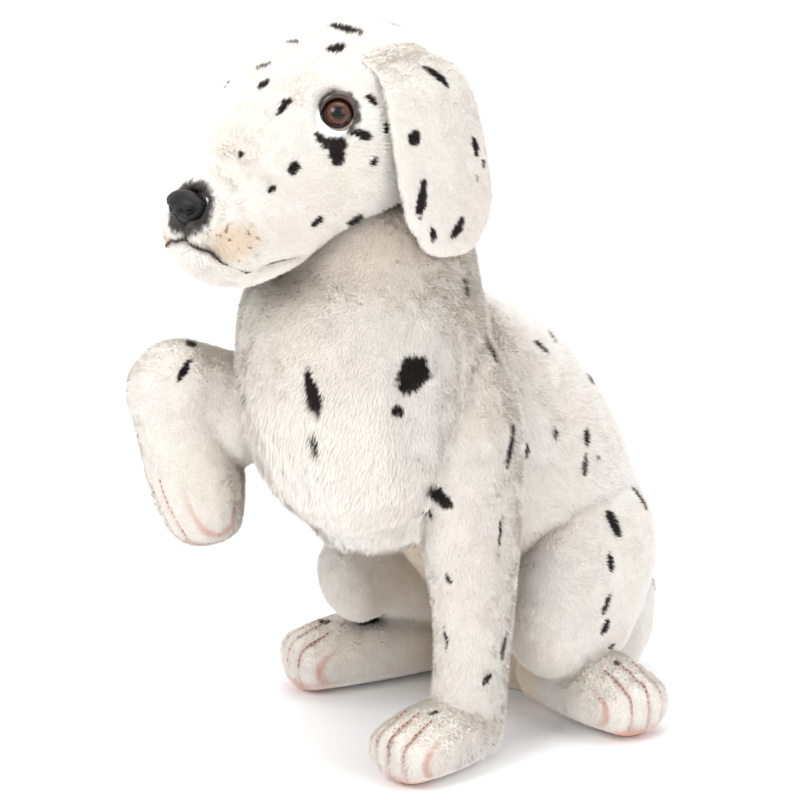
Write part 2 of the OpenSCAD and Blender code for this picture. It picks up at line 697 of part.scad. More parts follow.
// The outer cloth and the lining are the two halves of an ear's thickness
module ear_outside(side) head_pose() mirrored(side)
    loft([for (q = ear_stations(0)) q + [ear_half * 1.6, 0, ear_half * 0.4, ear_half * 0.6, 8]]);
module ear_outer(side) color(coat) intersection() {
    ear_form(side);
    ear_outside(side);
}
module ear_lining(side) color(coat) difference() {
    ear_form(side);
    ear_outside(side);
}
module left_ear_outer() ear_outer(1);
module left_ear_lining() ear_lining(1);
module right_ear_outer() ear_outer(-1);
module right_ear_lining() ear_lining(-1);

// ---- tail ---------------------------------------------------------------
function tail_stations(t) = [
    concat(tail_at + [-2, 5, 0], [tail_r * 0.9 - t, tail_r * 0.9 - t]),
    [-0.13 * tail_l, tail_at[1] + 0.13 * tail_l, tail_r + 4, tail_r * 0.88 - t, tail_r * 0.88 - t],
    [-0.34 * tail_l, tail_at[1] + 0.22 * tail_l, tail_r, tail_r * 0.8 - t, tail_r * 0.8 - t],
    [-0.6 * tail_l, tail_at[1] + 0.24 * tail_l, tail_r * 0.8, tail_r * 0.68 - t, tail_r * 0.68 - t],
    [-0.84 * tail_l, tail_at[1] + 0.18 * tail_l, tail_r * 0.6, tail_r * 0.52 - t, tail_r * 0.52 - t]];
module tail_form(t = 0) {
    ball(tail_at, tail_r - t);
    loft(tail_stations(t), side = [0, 0, 1], inner = t > 0, start = 0, end = 0.8);
}
peg_r = 3;
peg_h = tail_r;
peg_arm_r = 2;
// The peg's arm stops short of the pellet bag
peg_arm_l = tail_at[1] - bag_r - 3;
tail_out = 60;
module tail_peg_form(c = 0) translate(tail_at) {
    translate([0, 0, -peg_h / 2 - c]) cylinder(h = peg_h + 2 * c, r = peg_r + c, $fn = 24);
    rotate([90, 0, 0]) cylinder(h = peg_arm_l + c, r = peg_arm_r + c, $fn = 24);
}
// The slot that lets the tail turn past the peg's arm
module tail_slot() translate(tail_at) intersection() {
    translate([0, 0, -peg_arm_r - gap]) cylinder(h = 2 * (peg_arm_r + gap), r = tail_r + 1, $fn = 32);
    union() {
        rotate([0, 0, -90]) translate([0, -peg_arm_r - gap, -big / 2])
            cube([big, 2 * (peg_arm_r + gap), big]);
        rotate([0, 0, -90]) translate([-peg_arm_r - gap, 0, -big / 2]) cube(big);
    }
    rotate([0, 0, tail_out - 90]) translate([-big / 2, -big, -big / 2])
        cube([2 * big, big + peg_arm_r + gap, big]);
}
module tail_skin() color(coat) difference() {
    tail_form();
    tail_form(plush);
    tail_slot();
}
module tail_peg() color(plastic) tail_peg_form();
module tail_stuffing() color(fibre) difference() {
    tail_form(plush + skin_gap);
    translate(tail_at - [0, 0, peg_h / 2 + gap])
        cylinder(h = peg_h + 2 * gap, r = peg_r + pin_clearance, $fn = 24);
    tail_slot();
}

chest_panel();
back_left_panel();
back_right_panel();
seat_patch();
body_stuffing();
pellet_bag();
neck_socket();
neck_pin();
head_post();
head_disc();
shoulder_bolt();
shoulder_inner_disc();
shoulder_outer_disc();
shoulder_nut();
left_foreleg_skin();
left_foreleg_stuffing();
left_foreleg_wire();
left_hindleg_skin();
left_hindleg_stuffing();
right_hindleg_skin();
right_hindleg_stuffing();
raised_upper_skin();
raised_upper_stuffing();
raised_upper_link();
raised_lower_skin();
raised_lower_stuffing();
raised_lower_link();
head_gusset();
left_face_panel();
right_face_panel();
chin_panel();
head_stuffing();
left_eye();
right_eye();
left_eyelid();
right_eyelid();
left_eye_washer();
right_eye_washer();
nose();
nose_washer();
left_ear_outer();
left_ear_lining();
right_ear_outer();
right_ear_lining();
tail_skin();
tail_stuffing();
tail_peg();
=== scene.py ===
# %% [markdown]
# # A sitting puppy in spotted plush
#
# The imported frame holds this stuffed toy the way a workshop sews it: cloth
# panels over fibre filling, a pin in the neck, a bolt in one shoulder, a
# safety eye on each side of the head. This lesson gives those parts their
# looks. Every limb gets a stuffed coat, the coats get a pile of short fibres,
# and the spots are inked onto the fibres one by one, as a stencil would do.

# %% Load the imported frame
import itertools
import json
import math

import bmesh
import bpy
import numpy as np
from mathutils import Matrix, Vector
from mathutils.bvhtree import BVHTree


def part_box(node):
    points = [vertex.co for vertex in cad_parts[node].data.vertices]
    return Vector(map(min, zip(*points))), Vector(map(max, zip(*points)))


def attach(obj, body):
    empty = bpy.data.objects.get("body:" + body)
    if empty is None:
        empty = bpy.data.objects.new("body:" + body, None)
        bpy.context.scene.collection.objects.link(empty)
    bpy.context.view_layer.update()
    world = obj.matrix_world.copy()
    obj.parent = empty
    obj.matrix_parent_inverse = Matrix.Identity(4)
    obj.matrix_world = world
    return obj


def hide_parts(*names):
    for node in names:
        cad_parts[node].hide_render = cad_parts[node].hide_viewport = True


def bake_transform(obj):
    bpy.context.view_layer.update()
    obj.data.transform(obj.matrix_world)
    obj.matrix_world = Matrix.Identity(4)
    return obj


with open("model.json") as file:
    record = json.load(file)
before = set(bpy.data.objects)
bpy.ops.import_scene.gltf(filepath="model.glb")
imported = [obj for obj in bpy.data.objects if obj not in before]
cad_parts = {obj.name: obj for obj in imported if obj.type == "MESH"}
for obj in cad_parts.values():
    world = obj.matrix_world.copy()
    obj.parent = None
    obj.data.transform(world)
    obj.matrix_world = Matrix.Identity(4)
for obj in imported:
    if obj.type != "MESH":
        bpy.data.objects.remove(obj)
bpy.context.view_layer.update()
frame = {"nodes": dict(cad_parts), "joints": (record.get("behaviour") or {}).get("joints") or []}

nodes = frame["nodes"]
MM = 0.001

# %% [markdown]
# ## Places that everything else hangs on
#
# A soft toy has few straight edges to measure from, so each part gets its own
# small set of axes. The joints in the record give the pivots. The head is
# turned a little to its right and tipped down, so the face is described in
# the head's own axes: x to its left, y to the back of the skull, z up.

# %% Pivots, and the head's own axes
pivot = {j["name"]: np.array(j["pos_m"]) for j in frame["joints"]}
NECK, LOBE = pivot["head_nod"], pivot["right_foreleg_swing"]
KNEE, TAIL = pivot["right_forepaw_bend"], pivot["tail_swing"]
HEAD = NECK + np.array([-8, -12, 80]) * MM
head_turn = Matrix.Rotation(math.radians(-15), 3, "Z") @ Matrix.Rotation(math.radians(9), 3, "X")
HEAD_AXES = np.array(head_turn)
WORLD_AXES = np.eye(3)
ORIGIN = np.zeros(3)


def placed(points_mm, origin=HEAD, axes=HEAD_AXES):
    """Points given in a part's own axes, in mm, as places in the frame, in metres."""
    return origin + np.atleast_2d(points_mm) @ axes.T * MM


def local(points, origin=HEAD, axes=HEAD_AXES):
    """The way back: places in the frame as mm in a part's own axes."""
    return (points - origin) @ axes / MM


def unit(v):
    v = np.asarray(v, float)
    return v / np.maximum(np.linalg.norm(v, axis=-1, keepdims=True), 1e-12)


def ramp(value, low, high):
    """0 at low, 1 at high, and smooth in between."""
    t = np.clip((value - low) / (high - low), 0, 1)
    return t * t * (3 - 2 * t)


print("head centre, mm:", np.round(HEAD / MM))

# %% [markdown]
# ## Noise that gives the same answer every time
#
# Ragged edges and uneven fibres need randomness, but the toy must come out
# alike on every run. A hash of the lattice cell stands in for chance: the
# same point always gets the same value.

# %% Value noise on arrays of points
def lattice(cell, seed):
    h = (cell[:, 0] * 73856093) ^ (cell[:, 1] * 19349663) ^ (cell[:, 2] * 83492791) ^ (seed * 265443)
    h = (h ^ (h >> 13)) * 1274126177
    return ((h ^ (h >> 16)) & 0xFFFF) / 65535.0


def noise(points, size_mm, seed=1):
    """Smooth noise from 0 to 1 whose lumps are about size_mm across."""
    q = points / (size_mm * MM)
    cell = np.floor(q).astype(np.int64)
    f = q - cell
    f = f * f * (3 - 2 * f)
    total = np.zeros(len(points))
    for corner in itertools.product((0, 1), repeat=3):
        weight = np.prod([f[:, k] if corner[k] else 1 - f[:, k] for k in range(3)], axis=0)
        total += weight * lattice(cell + np.array(corner), seed)
    return total


print("noise at three points:", np.round(noise(np.eye(3), 2.0), 3))

# %% [markdown]
# ## From hollow panels to one stuffed coat
#
# On the bench the panels are sewn, turned and filled, and after that nobody
# sees separate shells: they see one soft skin with seams in it. A voxel
# remesh does the same. It takes cloth and filling together and keeps only
# the outside, at one even mesh size, which cloth simulation likes. Lofting
# a new surface by hand would also work, but it would drift from the frame.

# %% Gather CAD nodes, remesh them, keep the outside
def mesh_coords(mesh):
    co = np.empty(len(mesh.vertices) * 3, np.float32)
    mesh.vertices.foreach_get("co", co)
    return co.reshape(-1, 3).astype(float)


def mesh_normals(mesh):
    no = np.empty(len(mesh.vertices) * 3, np.float32)
    mesh.vertices.foreach_get("normal", no)
    return no.reshape(-1, 3).astype(float)


def mesh_edges(mesh):
    pairs = np.empty(len(mesh.edges) * 2, np.int32)
    mesh.edges.foreach_get("vertices", pairs)
    return pairs.reshape(-1, 2)


def set_coords(mesh, co):
    mesh.vertices.foreach_set("co", co.astype(np.float32).ravel())
    mesh.update()


def new_piece(name, mesh):
    piece = bpy.data.objects.new(name, mesh)
    bpy.context.scene.collection.objects.link(piece)
    return piece


def gathered(name, members, lumps=()):
    """A piece with copies of the members' shells, and any ellipsoid lumps of filling."""
    bm = bmesh.new()
    for member in members:
        bm.from_mesh(nodes[member].data)
    bmesh.ops.remove_doubles(bm, verts=bm.verts, dist=1e-6)
    for centre, radii in lumps:
        matrix = Matrix.LocRotScale(Vector(centre), head_turn.to_quaternion(), Vector(radii) * MM)
        bmesh.ops.create_icosphere(bm, subdivisions=3, radius=1, matrix=matrix)
    mesh = bpy.data.meshes.new(name)
    bm.to_mesh(mesh)
    bm.free()
    return new_piece(name, mesh)


def plain_mesh(piece):
    """The piece's evaluated mesh takes the place of its mesh and modifiers."""
    graph = bpy.context.evaluated_depsgraph_get()
    made = bpy.data.meshes.new_from_object(piece.evaluated_get(graph))
    piece.modifiers.clear()
    old, piece.data = piece.data, made
    bpy.data.meshes.remove(old)


def keep_biggest_shell(mesh):
    """Shells around inner hollows are dropped: only the biggest connected one stays."""
    pairs = mesh_edges(mesh)
    label = np.arange(len(mesh.vertices))
    while True:
        low = np.minimum(label[pairs[:, 0]], label[pairs[:, 1]])
        after = label.copy()
        np.minimum.at(after, pairs[:, 0], low)
        np.minimum.at(after, pairs[:, 1], low)
        after = after[after]
        if (after == label).all():
            break
        label = after
    kept = np.bincount(label).argmax()
    bm = bmesh.new()
    bm.from_mesh(mesh)
    bmesh.ops.delete(bm, geom=[v for v, l in zip(bm.verts, label) if l != kept], context="VERTS")
    bm.to_mesh(mesh)
    bm.free()


PULL_IN, PUSH_OUT = 0.6, -0.62


def smoothed(co, pairs, rounds):
    """Rounds off voxel steps. Each pull in is followed by a push out, so nothing shrinks."""
    degree = np.maximum(np.bincount(pairs.ravel(), minlength=len(co)), 1)[:, None]
    for step in range(2 * rounds):
        total = np.stack([
            np.bincount(pairs[:, 0], co[pairs[:, 1], k], len(co))
            + np.bincount(pairs[:, 1], co[pairs[:, 0], k], len(co)) for k in range(3)], 1)
        co = co + (PULL_IN if step % 2 == 0 else PUSH_OUT) * (total / degree - co)
    return co


def stuffed(name, members, voxel_mm, rounds, lumps=()):
    piece = gathered(name, members, lumps)
    voxels = piece.modifiers.new("voxels", "REMESH")
    voxels.mode, voxels.voxel_size = "VOXEL", voxel_mm * MM
    voxels.use_smooth_shade = True
    plain_mesh(piece)
    keep_biggest_shell(piece.data)
    mesh = piece.data
    set_coords(mesh, smoothed(mesh_coords(mesh), mesh_edges(mesh), rounds))
    print(f"{name}: {len(mesh.vertices)} points, {len(mesh.polygons)} faces")
    return piece


# %% Which panel each point of a coat belongs to
def shell_tree(node):
    mesh = nodes[node].data
    return BVHTree.FromPolygons([v.co for v in mesh.vertices], [p.vertices for p in mesh.polygons])


def nearest_panel(co, panels):
    """For each point, the index of the panel that it lies on."""
    trees = [shell_tree(p) for p in panels]
    away = np.empty((len(co), len(panels)))
    for i, point in enumerate(co):
        for k, tree in enumerate(trees):
            away[i, k] = tree.find_nearest(point)[3]
    return away.argmin(1)


def seam_field(label, pairs, rounds=3):
    """1 where two panels meet, fading to 0 a few millimetres away."""
    seam = np.zeros(len(label))
    meet = pairs[label[pairs[:, 0]] != label[pairs[:, 1]]]
    seam[meet.ravel()] = 1
    line = seam.copy()
    degree = np.maximum(np.bincount(pairs.ravel(), minlength=len(label)), 1)
    for _ in range(rounds):
        total = np.bincount(pairs[:, 0], seam[pairs[:, 1]], len(seam))
        total = total + np.bincount(pairs[:, 1], seam[pairs[:, 0]], len(seam))
        seam = np.maximum(line, total / degree)
    return seam


# %% [markdown]
# ## Filling the coat
#
# Filling pushes cloth out everywhere but at the seams, where thread holds it
# in. Blender's Cloth does this: pressure inside, no gravity, the seam points
# pinned. How far a point may move is capped, so that the toy keeps its size.
# Shells as small and stiff as these swell by only a fraction of a millimetre,
# most of it in the ears, so the round shape comes from the panels themselves.

# %% Puff a coat up between its seams
def puff(piece, held, pressure=4.0, cap_mm=2.2, frames=20):
    """Swells a coat with Cloth. held is 1 for points that thread holds in place."""
    scene = bpy.context.scene
    rest = mesh_coords(piece.data)
    group = piece.vertex_groups.new(name="held")
    for level in (0.4, 1.0):
        picked = np.flatnonzero(held >= level)
        group.add([int(i) for i in picked], level, "REPLACE")
    cloth = piece.modifiers.new("filling", "CLOTH")
    cloth.settings.use_pressure = True
    cloth.settings.uniform_pressure_force = pressure
    cloth.settings.vertex_group_mass = "held"
    cloth.settings.effector_weights.gravity = 0
    cloth.collision_settings.use_collision = False
    scene.frame_start, scene.frame_end = 1, frames
    for step in range(1, frames + 1):
        scene.frame_set(step)
    graph = bpy.context.evaluated_depsgraph_get()
    swollen = mesh_coords(piece.evaluated_get(graph).data)
    piece.modifiers.clear()
    piece.vertex_groups.clear()
    scene.frame_set(1)
    move = swollen - rest
    far = np.linalg.norm(move, axis=1, keepdims=True)
    limit = cap_mm * MM * (1 - 0.9 * held[:, None])
    move *= np.minimum(1, limit / np.maximum(far, 1e-9))
    set_coords(piece.data, smoothed(rest + move, mesh_edges(piece.data), 2))
    print(f"{piece.name}: filled, mean move {np.linalg.norm(move, axis=1).mean() / MM:.2f} mm")

# %% [markdown]
# ## Toes
#
# A plush paw is one bag of filling with three stitches pulled through its
# front. The stitches draw three valleys, and the cloth between them stands
# up as four toes. So the toes are not added: the valleys are pressed in,
# along lines that run forward over the paw.

# %% Paws: where each is, which way it points, and how wide it is
PAWS = {
    "left_fore": dict(at=(42, -206, 15), ahead=(-0.24, -0.97, 0), wide=44, long=30),
    "left_hind": dict(at=(106, -66, 17), ahead=(0.98, -0.21, 0), wide=46, long=30),
    "right_hind": dict(at=(-96, -106, 17), ahead=(-0.51, -0.86, 0), wide=44, long=30),
    "raised": dict(at=(-81, -220, 136), ahead=(0, 0, -1), wide=54, long=46, front=(-0.57, -0.82, 0)),
}
print("paws:", ", ".join(PAWS))


def paw_axes(paw):
    ahead = unit(paw["ahead"])
    front = unit(paw.get("front", (0, 0, 1)))
    return np.stack([np.cross(ahead, front), ahead, front], 1)


def press_toes(co, no, paw, depth_mm=3.4):
    """Moves points in along three lines and a little out between them."""
    q = local(co, np.array(paw["at"]) * MM, paw_axes(paw))
    shut = ramp(q[:, 1], 14 - paw["long"], 4) * ramp(np.linalg.norm(q, axis=1), 62, 44)
    shut *= ramp(q[:, 2], -12, -4)
    splay = 1 + 0.006 * q[:, 1]
    phase = (q[:, 0] / splay / paw["wide"] + 0.5) * 4 * math.pi
    valley = 1 - np.abs(np.sin(phase)) ** 0.55
    edge = np.abs(q[:, 0] / splay / paw["wide"])
    valley *= ramp(edge, 0.46, 0.36)
    return co - no * ((valley - 0.12) * shut * depth_mm * MM)[:, None]


def toe_lines(paw, steps=8):
    """Rays that meet the three valleys of a paw: where each starts, and where it aims."""
    lines = []
    for share in (-0.25, 0, 0.25):
        back = np.linspace(-0.75 * (paw["long"] - 12), -3, steps)
        turn = np.radians(np.linspace(90, 12, steps))[1:]
        aims = np.concatenate([back, np.full(len(turn), -3.0)])
        starts = np.stack([np.concatenate([back, -3 + 40 * np.cos(turn)]),
                           np.concatenate([np.full(steps, 40.0), 40 * np.sin(turn)])])
        ray = [placed(np.stack([share * paw["wide"] * (1 + 0.006 * ahead), ahead, over], 1),
                      np.array(paw["at"]) * MM, paw_axes(paw))
               for ahead, over in (starts, (aims, np.zeros(len(aims))))]
        lines.append(ray)
    return lines


# %% [markdown]
# ## The coats
#
# One coat for each part that moves by itself: the body with its sewn-on
# legs, the head, each ear, the raised leg and the tail. Seams are found where
# two panels meet. Thread holds them while the filling goes in, and on the
# body they are drawn in a little after.

# %% The body's coat, with the planted foreleg and both hind legs sewn on
BODY_PANELS = ["chest_panel", "back_left_panel", "back_right_panel", "left_foreleg_skin",
               "left_hindleg_skin", "right_hindleg_skin", "seat_patch"]
FORELEG, LEFT_HIND, RIGHT_HIND, PATCH = range(3, 7)
body_coat = stuffed("body_coat", [*BODY_PANELS, "body_stuffing", "left_foreleg_stuffing",
                                  "left_hindleg_stuffing", "right_hindleg_stuffing", "neck_socket"], 2.5, 4)
co = mesh_coords(body_coat.data)
body_label = nearest_panel(co, BODY_PANELS)
body_seam = seam_field(body_label, mesh_edges(body_coat.data))
in_cup = (np.linalg.norm(co - LOBE, axis=1) < 34 * MM) | (np.linalg.norm(co - TAIL, axis=1) < 19 * MM)
on_floor = co[:, 2] < 4 * MM
in_head = co[:, 2] > 300 * MM
puff(body_coat, np.maximum(body_seam, (in_cup | on_floor | in_head).astype(float)))

# %% Creases along the body's seams, and its toes
co, no = mesh_coords(body_coat.data), mesh_normals(body_coat.data)
co -= no * (body_seam * ~(in_cup | in_head) * 0.9 * MM)[:, None]
for name in ("left_fore", "left_hind", "right_hind"):
    co = press_toes(co, no, PAWS[name])
at_neck = ramp(co[:, 2], 0.240, 0.262) * ramp(-co[:, 2], -0.302, -0.290)
pairs = mesh_edges(body_coat.data)
ends, other_ends = pairs.ravel(), pairs[:, ::-1].ravel()
neighbours = np.bincount(ends, minlength=len(co))[:, None]
soft = co.copy()
for _ in range(70):
    ring = np.stack([np.bincount(ends, soft[other_ends, k], len(co)) for k in range(3)], 1)
    soft += 0.5 * at_neck[:, None] * (ring / neighbours - soft)
co += (soft - co + no * 1.6 * MM) * at_neck[:, None]
co[:, 2] = np.maximum(co[:, 2], 0.3 * MM)
set_coords(body_coat.data, co)
print("body coat, lowest and highest mm:", np.round(co.min(0) / MM, 1), np.round(co.max(0) / MM, 1))

# %% The head's coat, filled round the eyes and under the brows
EYE, EYE_OUT = (39.5, -34.2, 23.5), (0.8, -0.52, 0.3)
MIRROR = np.array([-1, 1, 1])
both_sides = (np.ones(3), MIRROR)
HEAD_PANELS = ["head_gusset", "left_face_panel", "right_face_panel", "chin_panel"]
face_lumps = [(placed(EYE * side - 2.5 * unit(np.array(EYE_OUT) * side))[0], (8, 8, 8))
              for side in both_sides]
face_lumps += [(placed(np.array((25, -33, 31)) * side)[0], (16, 20, 14)) for side in both_sides]
face_lumps += [(placed(np.array((14, -92, -36)) * side)[0], (20, 20, 17)) for side in both_sides]
face_lumps += [(placed((0, -92, -50))[0], (15, 16, 9))]
head_coat = stuffed("head_coat", [*HEAD_PANELS, "head_stuffing"], 2.2, 4, face_lumps)
co = mesh_coords(head_coat.data)
head_label = nearest_panel(co, HEAD_PANELS)
head_seam = seam_field(head_label, mesh_edges(head_coat.data), 2)
near_neck = np.linalg.norm(co - NECK, axis=1) < 58 * MM
near_eye = np.zeros(len(co), bool)
for side in both_sides:
    near_eye |= np.linalg.norm(local(co) - np.array(EYE) * side, axis=1) < 13
near_nose = np.linalg.norm(local(co) - (0, -108, -12), axis=1) < 16
puff(head_coat, np.maximum(head_seam * 0.6, (near_neck | near_eye | near_nose).astype(float)), cap_mm=1.8)

# %% The mouth is a stitched line that draws a valley into the muzzle
MOUTH = np.array([(0, -114, -22), (0, -115, -28), (8, -114, -31), (16, -112, -33), (22, -106, -38),
                  (26, -98, -43), (28, -88, -47), (28, -76, -49), (25, -64, -51)])


def line_distance(q, line):
    """Distance from each point to a line of straight pieces, in the same units."""
    best = np.full(len(q), 1e9)
    for a, b in zip(line[:-1], line[1:]):
        t = np.clip(((q - a) @ (b - a)) / ((b - a) @ (b - a)), 0, 1)
        best = np.minimum(best, np.linalg.norm(q - a - t[:, None] * (b - a), axis=1))
    return best


co, no = mesh_coords(head_coat.data), mesh_normals(head_coat.data)
q = local(co)
for side in both_sides:
    away = line_distance(q * side, MOUTH)
    co -= no * (2.6 * np.exp(-(away / 2.6) ** 2) - 1.2 * np.exp(-((away - 7) / 4) ** 2))[:, None] * MM
for side in both_sides:
    out = unit(np.array(EYE_OUT) * side)
    arm = local(co) - np.array(EYE) * side
    up = arm @ out
    across = np.linalg.norm(arm - up[:, None] * out, axis=1)
    over = np.maximum(up - (0.4 + 9 * ramp(across, 11.5, 20)), 0) * (across < 20) * (up > -6)
    co -= (over[:, None] * out) @ HEAD_AXES.T * MM
set_coords(head_coat.data, co)

# %% Ears, the raised leg and the tail
left_ear_coat = stuffed("left_ear_coat", ["left_ear_outer", "left_ear_lining"], 1.8, 4)
right_ear_coat = stuffed("right_ear_coat", ["right_ear_outer", "right_ear_lining"], 1.8, 4)
head_tree = BVHTree.FromObject(head_coat, bpy.context.evaluated_depsgraph_get())
for coat in (left_ear_coat, right_ear_coat):
    co = mesh_coords(coat.data)
    up = local(co)[:, 2]
    puff(coat, ramp(up, 20, 34), pressure=2.0, cap_mm=1.2)
    co = mesh_coords(coat.data)
    press = 0.72 * ramp(local(co)[:, 2], 28, 50)
    for i in np.flatnonzero(press > 0.01):
        spot, normal, _, away = head_tree.find_nearest(Vector(co[i]))
        if (Vector(co[i]) - spot).dot(normal) > 0:
            co[i] = co[i] + (np.array(spot) - co[i]) * press[i]
    set_coords(coat.data, co)
leg_coat = stuffed("raised_leg_coat", ["raised_upper_skin", "raised_upper_stuffing",
                                       "raised_lower_skin", "raised_lower_stuffing"], 2.2, 5)
co = mesh_coords(leg_coat.data)
in_body = np.linalg.norm(co - LOBE, axis=1) < 32.5 * MM
puff(leg_coat, in_body.astype(float), cap_mm=1.6)
co, no = mesh_coords(leg_coat.data), mesh_normals(leg_coat.data)
set_coords(leg_coat.data, press_toes(co, no, PAWS["raised"], 3.0))
tail_coat = stuffed("tail_coat", ["tail_skin", "tail_stuffing"], 2.0, 4)
co = mesh_coords(tail_coat.data)
puff(tail_coat, (np.linalg.norm(co - TAIL, axis=1) < 15 * MM).astype(float), cap_mm=1.2)

# %% [markdown]
# ## Ink on the coat
#
# The spots are sprayed onto the pile through a stencil, so each has a ragged
# edge where fibres cross it. A spot is a place on the surface, a length, a
# width and a lean from upright. The same colour rule is used twice: on the
# coat's own points, and at the root of every fibre, which makes the edges
# break up fibre by fibre with no image anywhere.

# %% Colours
def tone(red, green, blue):
    """An sRGB colour from 0 to 255 as the linear colour that shaders use."""
    c = np.array([red, green, blue]) / 255
    return np.where(c <= 0.04045, c / 12.92, ((c + 0.055) / 1.055) ** 2.4)


IVORY, CREAM, ROSE = tone(250, 247, 241), tone(247, 239, 223), tone(238, 214, 210)
TAN, BLUSH, INK = tone(226, 196, 160), tone(222, 160, 142), tone(33, 24, 22)
SEPIA = tone(120, 84, 62)
print("ivory in linear light:", np.round(IVORY, 3))

# %% Spots, as (x, y, z, length, width, lean) in mm and degrees
HEAD_SPOTS = [
    (8, 2, 54, 23, 9, 125), (20, -16, 50, 11, 8, 60), (-4, -25, 52, 10, 4, 60), (-3, -48, 46, 9, 4, 35),
    (8, -57, 40, 8, 5, 20), (25, -58, 32, 12, 5, 35), (47, -17, 26, 7, 4, -35), (52, -15, 12, 5, 3, 0),
    (53, -26, -3, 7, 4, 25), (37, -66, 2, 8, 6, 20), (31, -77, -7, 5, 4, 60), (16, -83, 12, 4, 3, 60),
    (36, -56, -30, 7, 5, 60), (35, -30, -37, 10, 9, 30), (45, -43, 11, 12, 10, 5), (41, -50, 14, 10, 5, -15),
    (50, -33, 15, 10, 5, 65), (46, -44, 3, 9, 7, 30),
    (-46, -16, 24, 8, 4, 30), (-52, -20, 4, 7, 5, 0), (-50, -36, -10, 10, 7, -30), (-36, -64, 2, 8, 5, 20),
    (-33, -58, -28, 8, 6, -50), (-30, -80, -2, 5, 4, 0), (-24, -56, 33, 11, 5, -30), (-28, -8, 46, 12, 7, 50),
    (-45, -45, 9, 10, 9, 0), (-41, -53, 13, 8, 5, 20), (0, 32, 42, 16, 9, 20), (-22, 42, 18, 12, 8, -40),
    (24, 42, 10, 14, 8, 30), (-46, 14, -12, 9, 6, 10), (4, 50, -6, 10, 7, 80)]
EAR_SPOTS = [
    (58, 21, 33, 16, 5, -32), (64, -5, 6, 9, 8, 40), (67, 33, -9, 13, 5, -15), (67, 37, -21, 5, 3, 0),
    (68, 31, -27, 3, 2, 0), (68, -8, -27, 20, 6, 8), (68, -4, -48, 9, 5, -20), (69, 13, -48, 14, 6, 30)]
RIGHT_EAR_SPOTS = [
    (-60, 6, 30, 11, 7, 30), (-66, 24, 8, 15, 6, -20), (-67, -10, -6, 10, 8, 10), (-68, 18, -24, 9, 6, 60),
    (-68, -6, -40, 16, 6, -12), (-68, 26, -48, 8, 5, 20)]
BODY_SPOTS = [
    (56, -168, 274, 10, 5, 10), (15, -247, 228, 24, 9, -16), (15, -244, 202, 13, 4, -10),
    (57, -216, 237, 20, 18, 40), (52, -223, 218, 8, 6, -50), (57, -188, 162, 17, 9, -35),
    (48, -186, 151, 8, 4, -25), (65, -152, 236, 16, 3, -8), (80, -155, 190, 25, 5, 20),
    (62, -112, 172, 8, 3, 10), (50, -85, 223, 13, 5, -42), (65, -91, 178, 9, 3, 0),
    (65, -61, 168, 11, 6, 0), (67, -64, 154, 13, 5, 5), (66, -49, 154, 4, 3, 0),
    (48, -31, 192, 12, 5, -42), (67, -4, 120, 18, 5, -15), (76, -45, 116, 18, 8, -15),
    (82, -58, 97, 11, 5, 5), (84, -65, 75, 12, 4, 35), (83, -64, 61, 11, 7, 20),
    (77, -50, 45, 7, 3, 80), (91, -62, 40, 6, 5, 30), (55, -178, 114, 6, 3, -30),
    (50, -173, 78, 13, 3, -5), (72, -150, 70, 17, 4, 12), (69, -161, 54, 8, 4, 45),
    (52, -187, 37, 7, 3, 55), (-68, -79, 40, 17, 5, 86), (77, -162, 138, 17, 2, 0),
    (-62, -178, 262, 12, 6, 20), (-60, -118, 205, 22, 9, 30), (-44, -92, 226, 14, 9, -40),
    (-66, -62, 172, 15, 7, 10), (-68, -28, 140, 20, 9, -25), (-56, 14, 118, 13, 8, 35),
    (-30, 42, 150, 18, 10, -20), (2, 22, 178, 15, 9, 10), (-22, -24, 198, 12, 7, 60),
    (22, 50, 118, 17, 8, 25), (48, 38, 92, 12, 7, -10), (-46, 40, 78, 14, 8, 15), (6, 56, 66, 10, 8, 0),
    (28, 0, 186, 16, 7, -35), (-12, -62, 222, 17, 8, 20), (14, -98, 246, 13, 9, -15),
    (-16, -122, 262, 11, 6, 10), (34, -62, 214, 9, 6, 30), (-80, -56, 102, 17, 7, -10),
    (-84, -78, 74, 12, 6, 25), (-78, -24, 84, 14, 8, 40), (-92, -92, 38, 8, 5, 60),
    (-38, -232, 214, 9, 5, 12), (-20, -214, 160, 8, 5, -20), (60, 20, 60, 12, 7, -20)]
LEG_SPOTS = [(-75, -243, 225, 15, 4, 33), (-84, -224, 236, 11, 6, 75), (-116, -226, 196, 13, 6, -15),
             (-98, -205, 160, 9, 6, 20), (-118, -215, 225, 8, 5, 0)]
TAIL_SPOTS = [(-20, 84, 34, 12, 7, 60), (-55, 92, 26, 14, 7, 80), (-88, 92, 20, 10, 6, 70),
              (-40, 100, 18, 9, 5, 80), (-110, 84, 18, 8, 6, 70)]


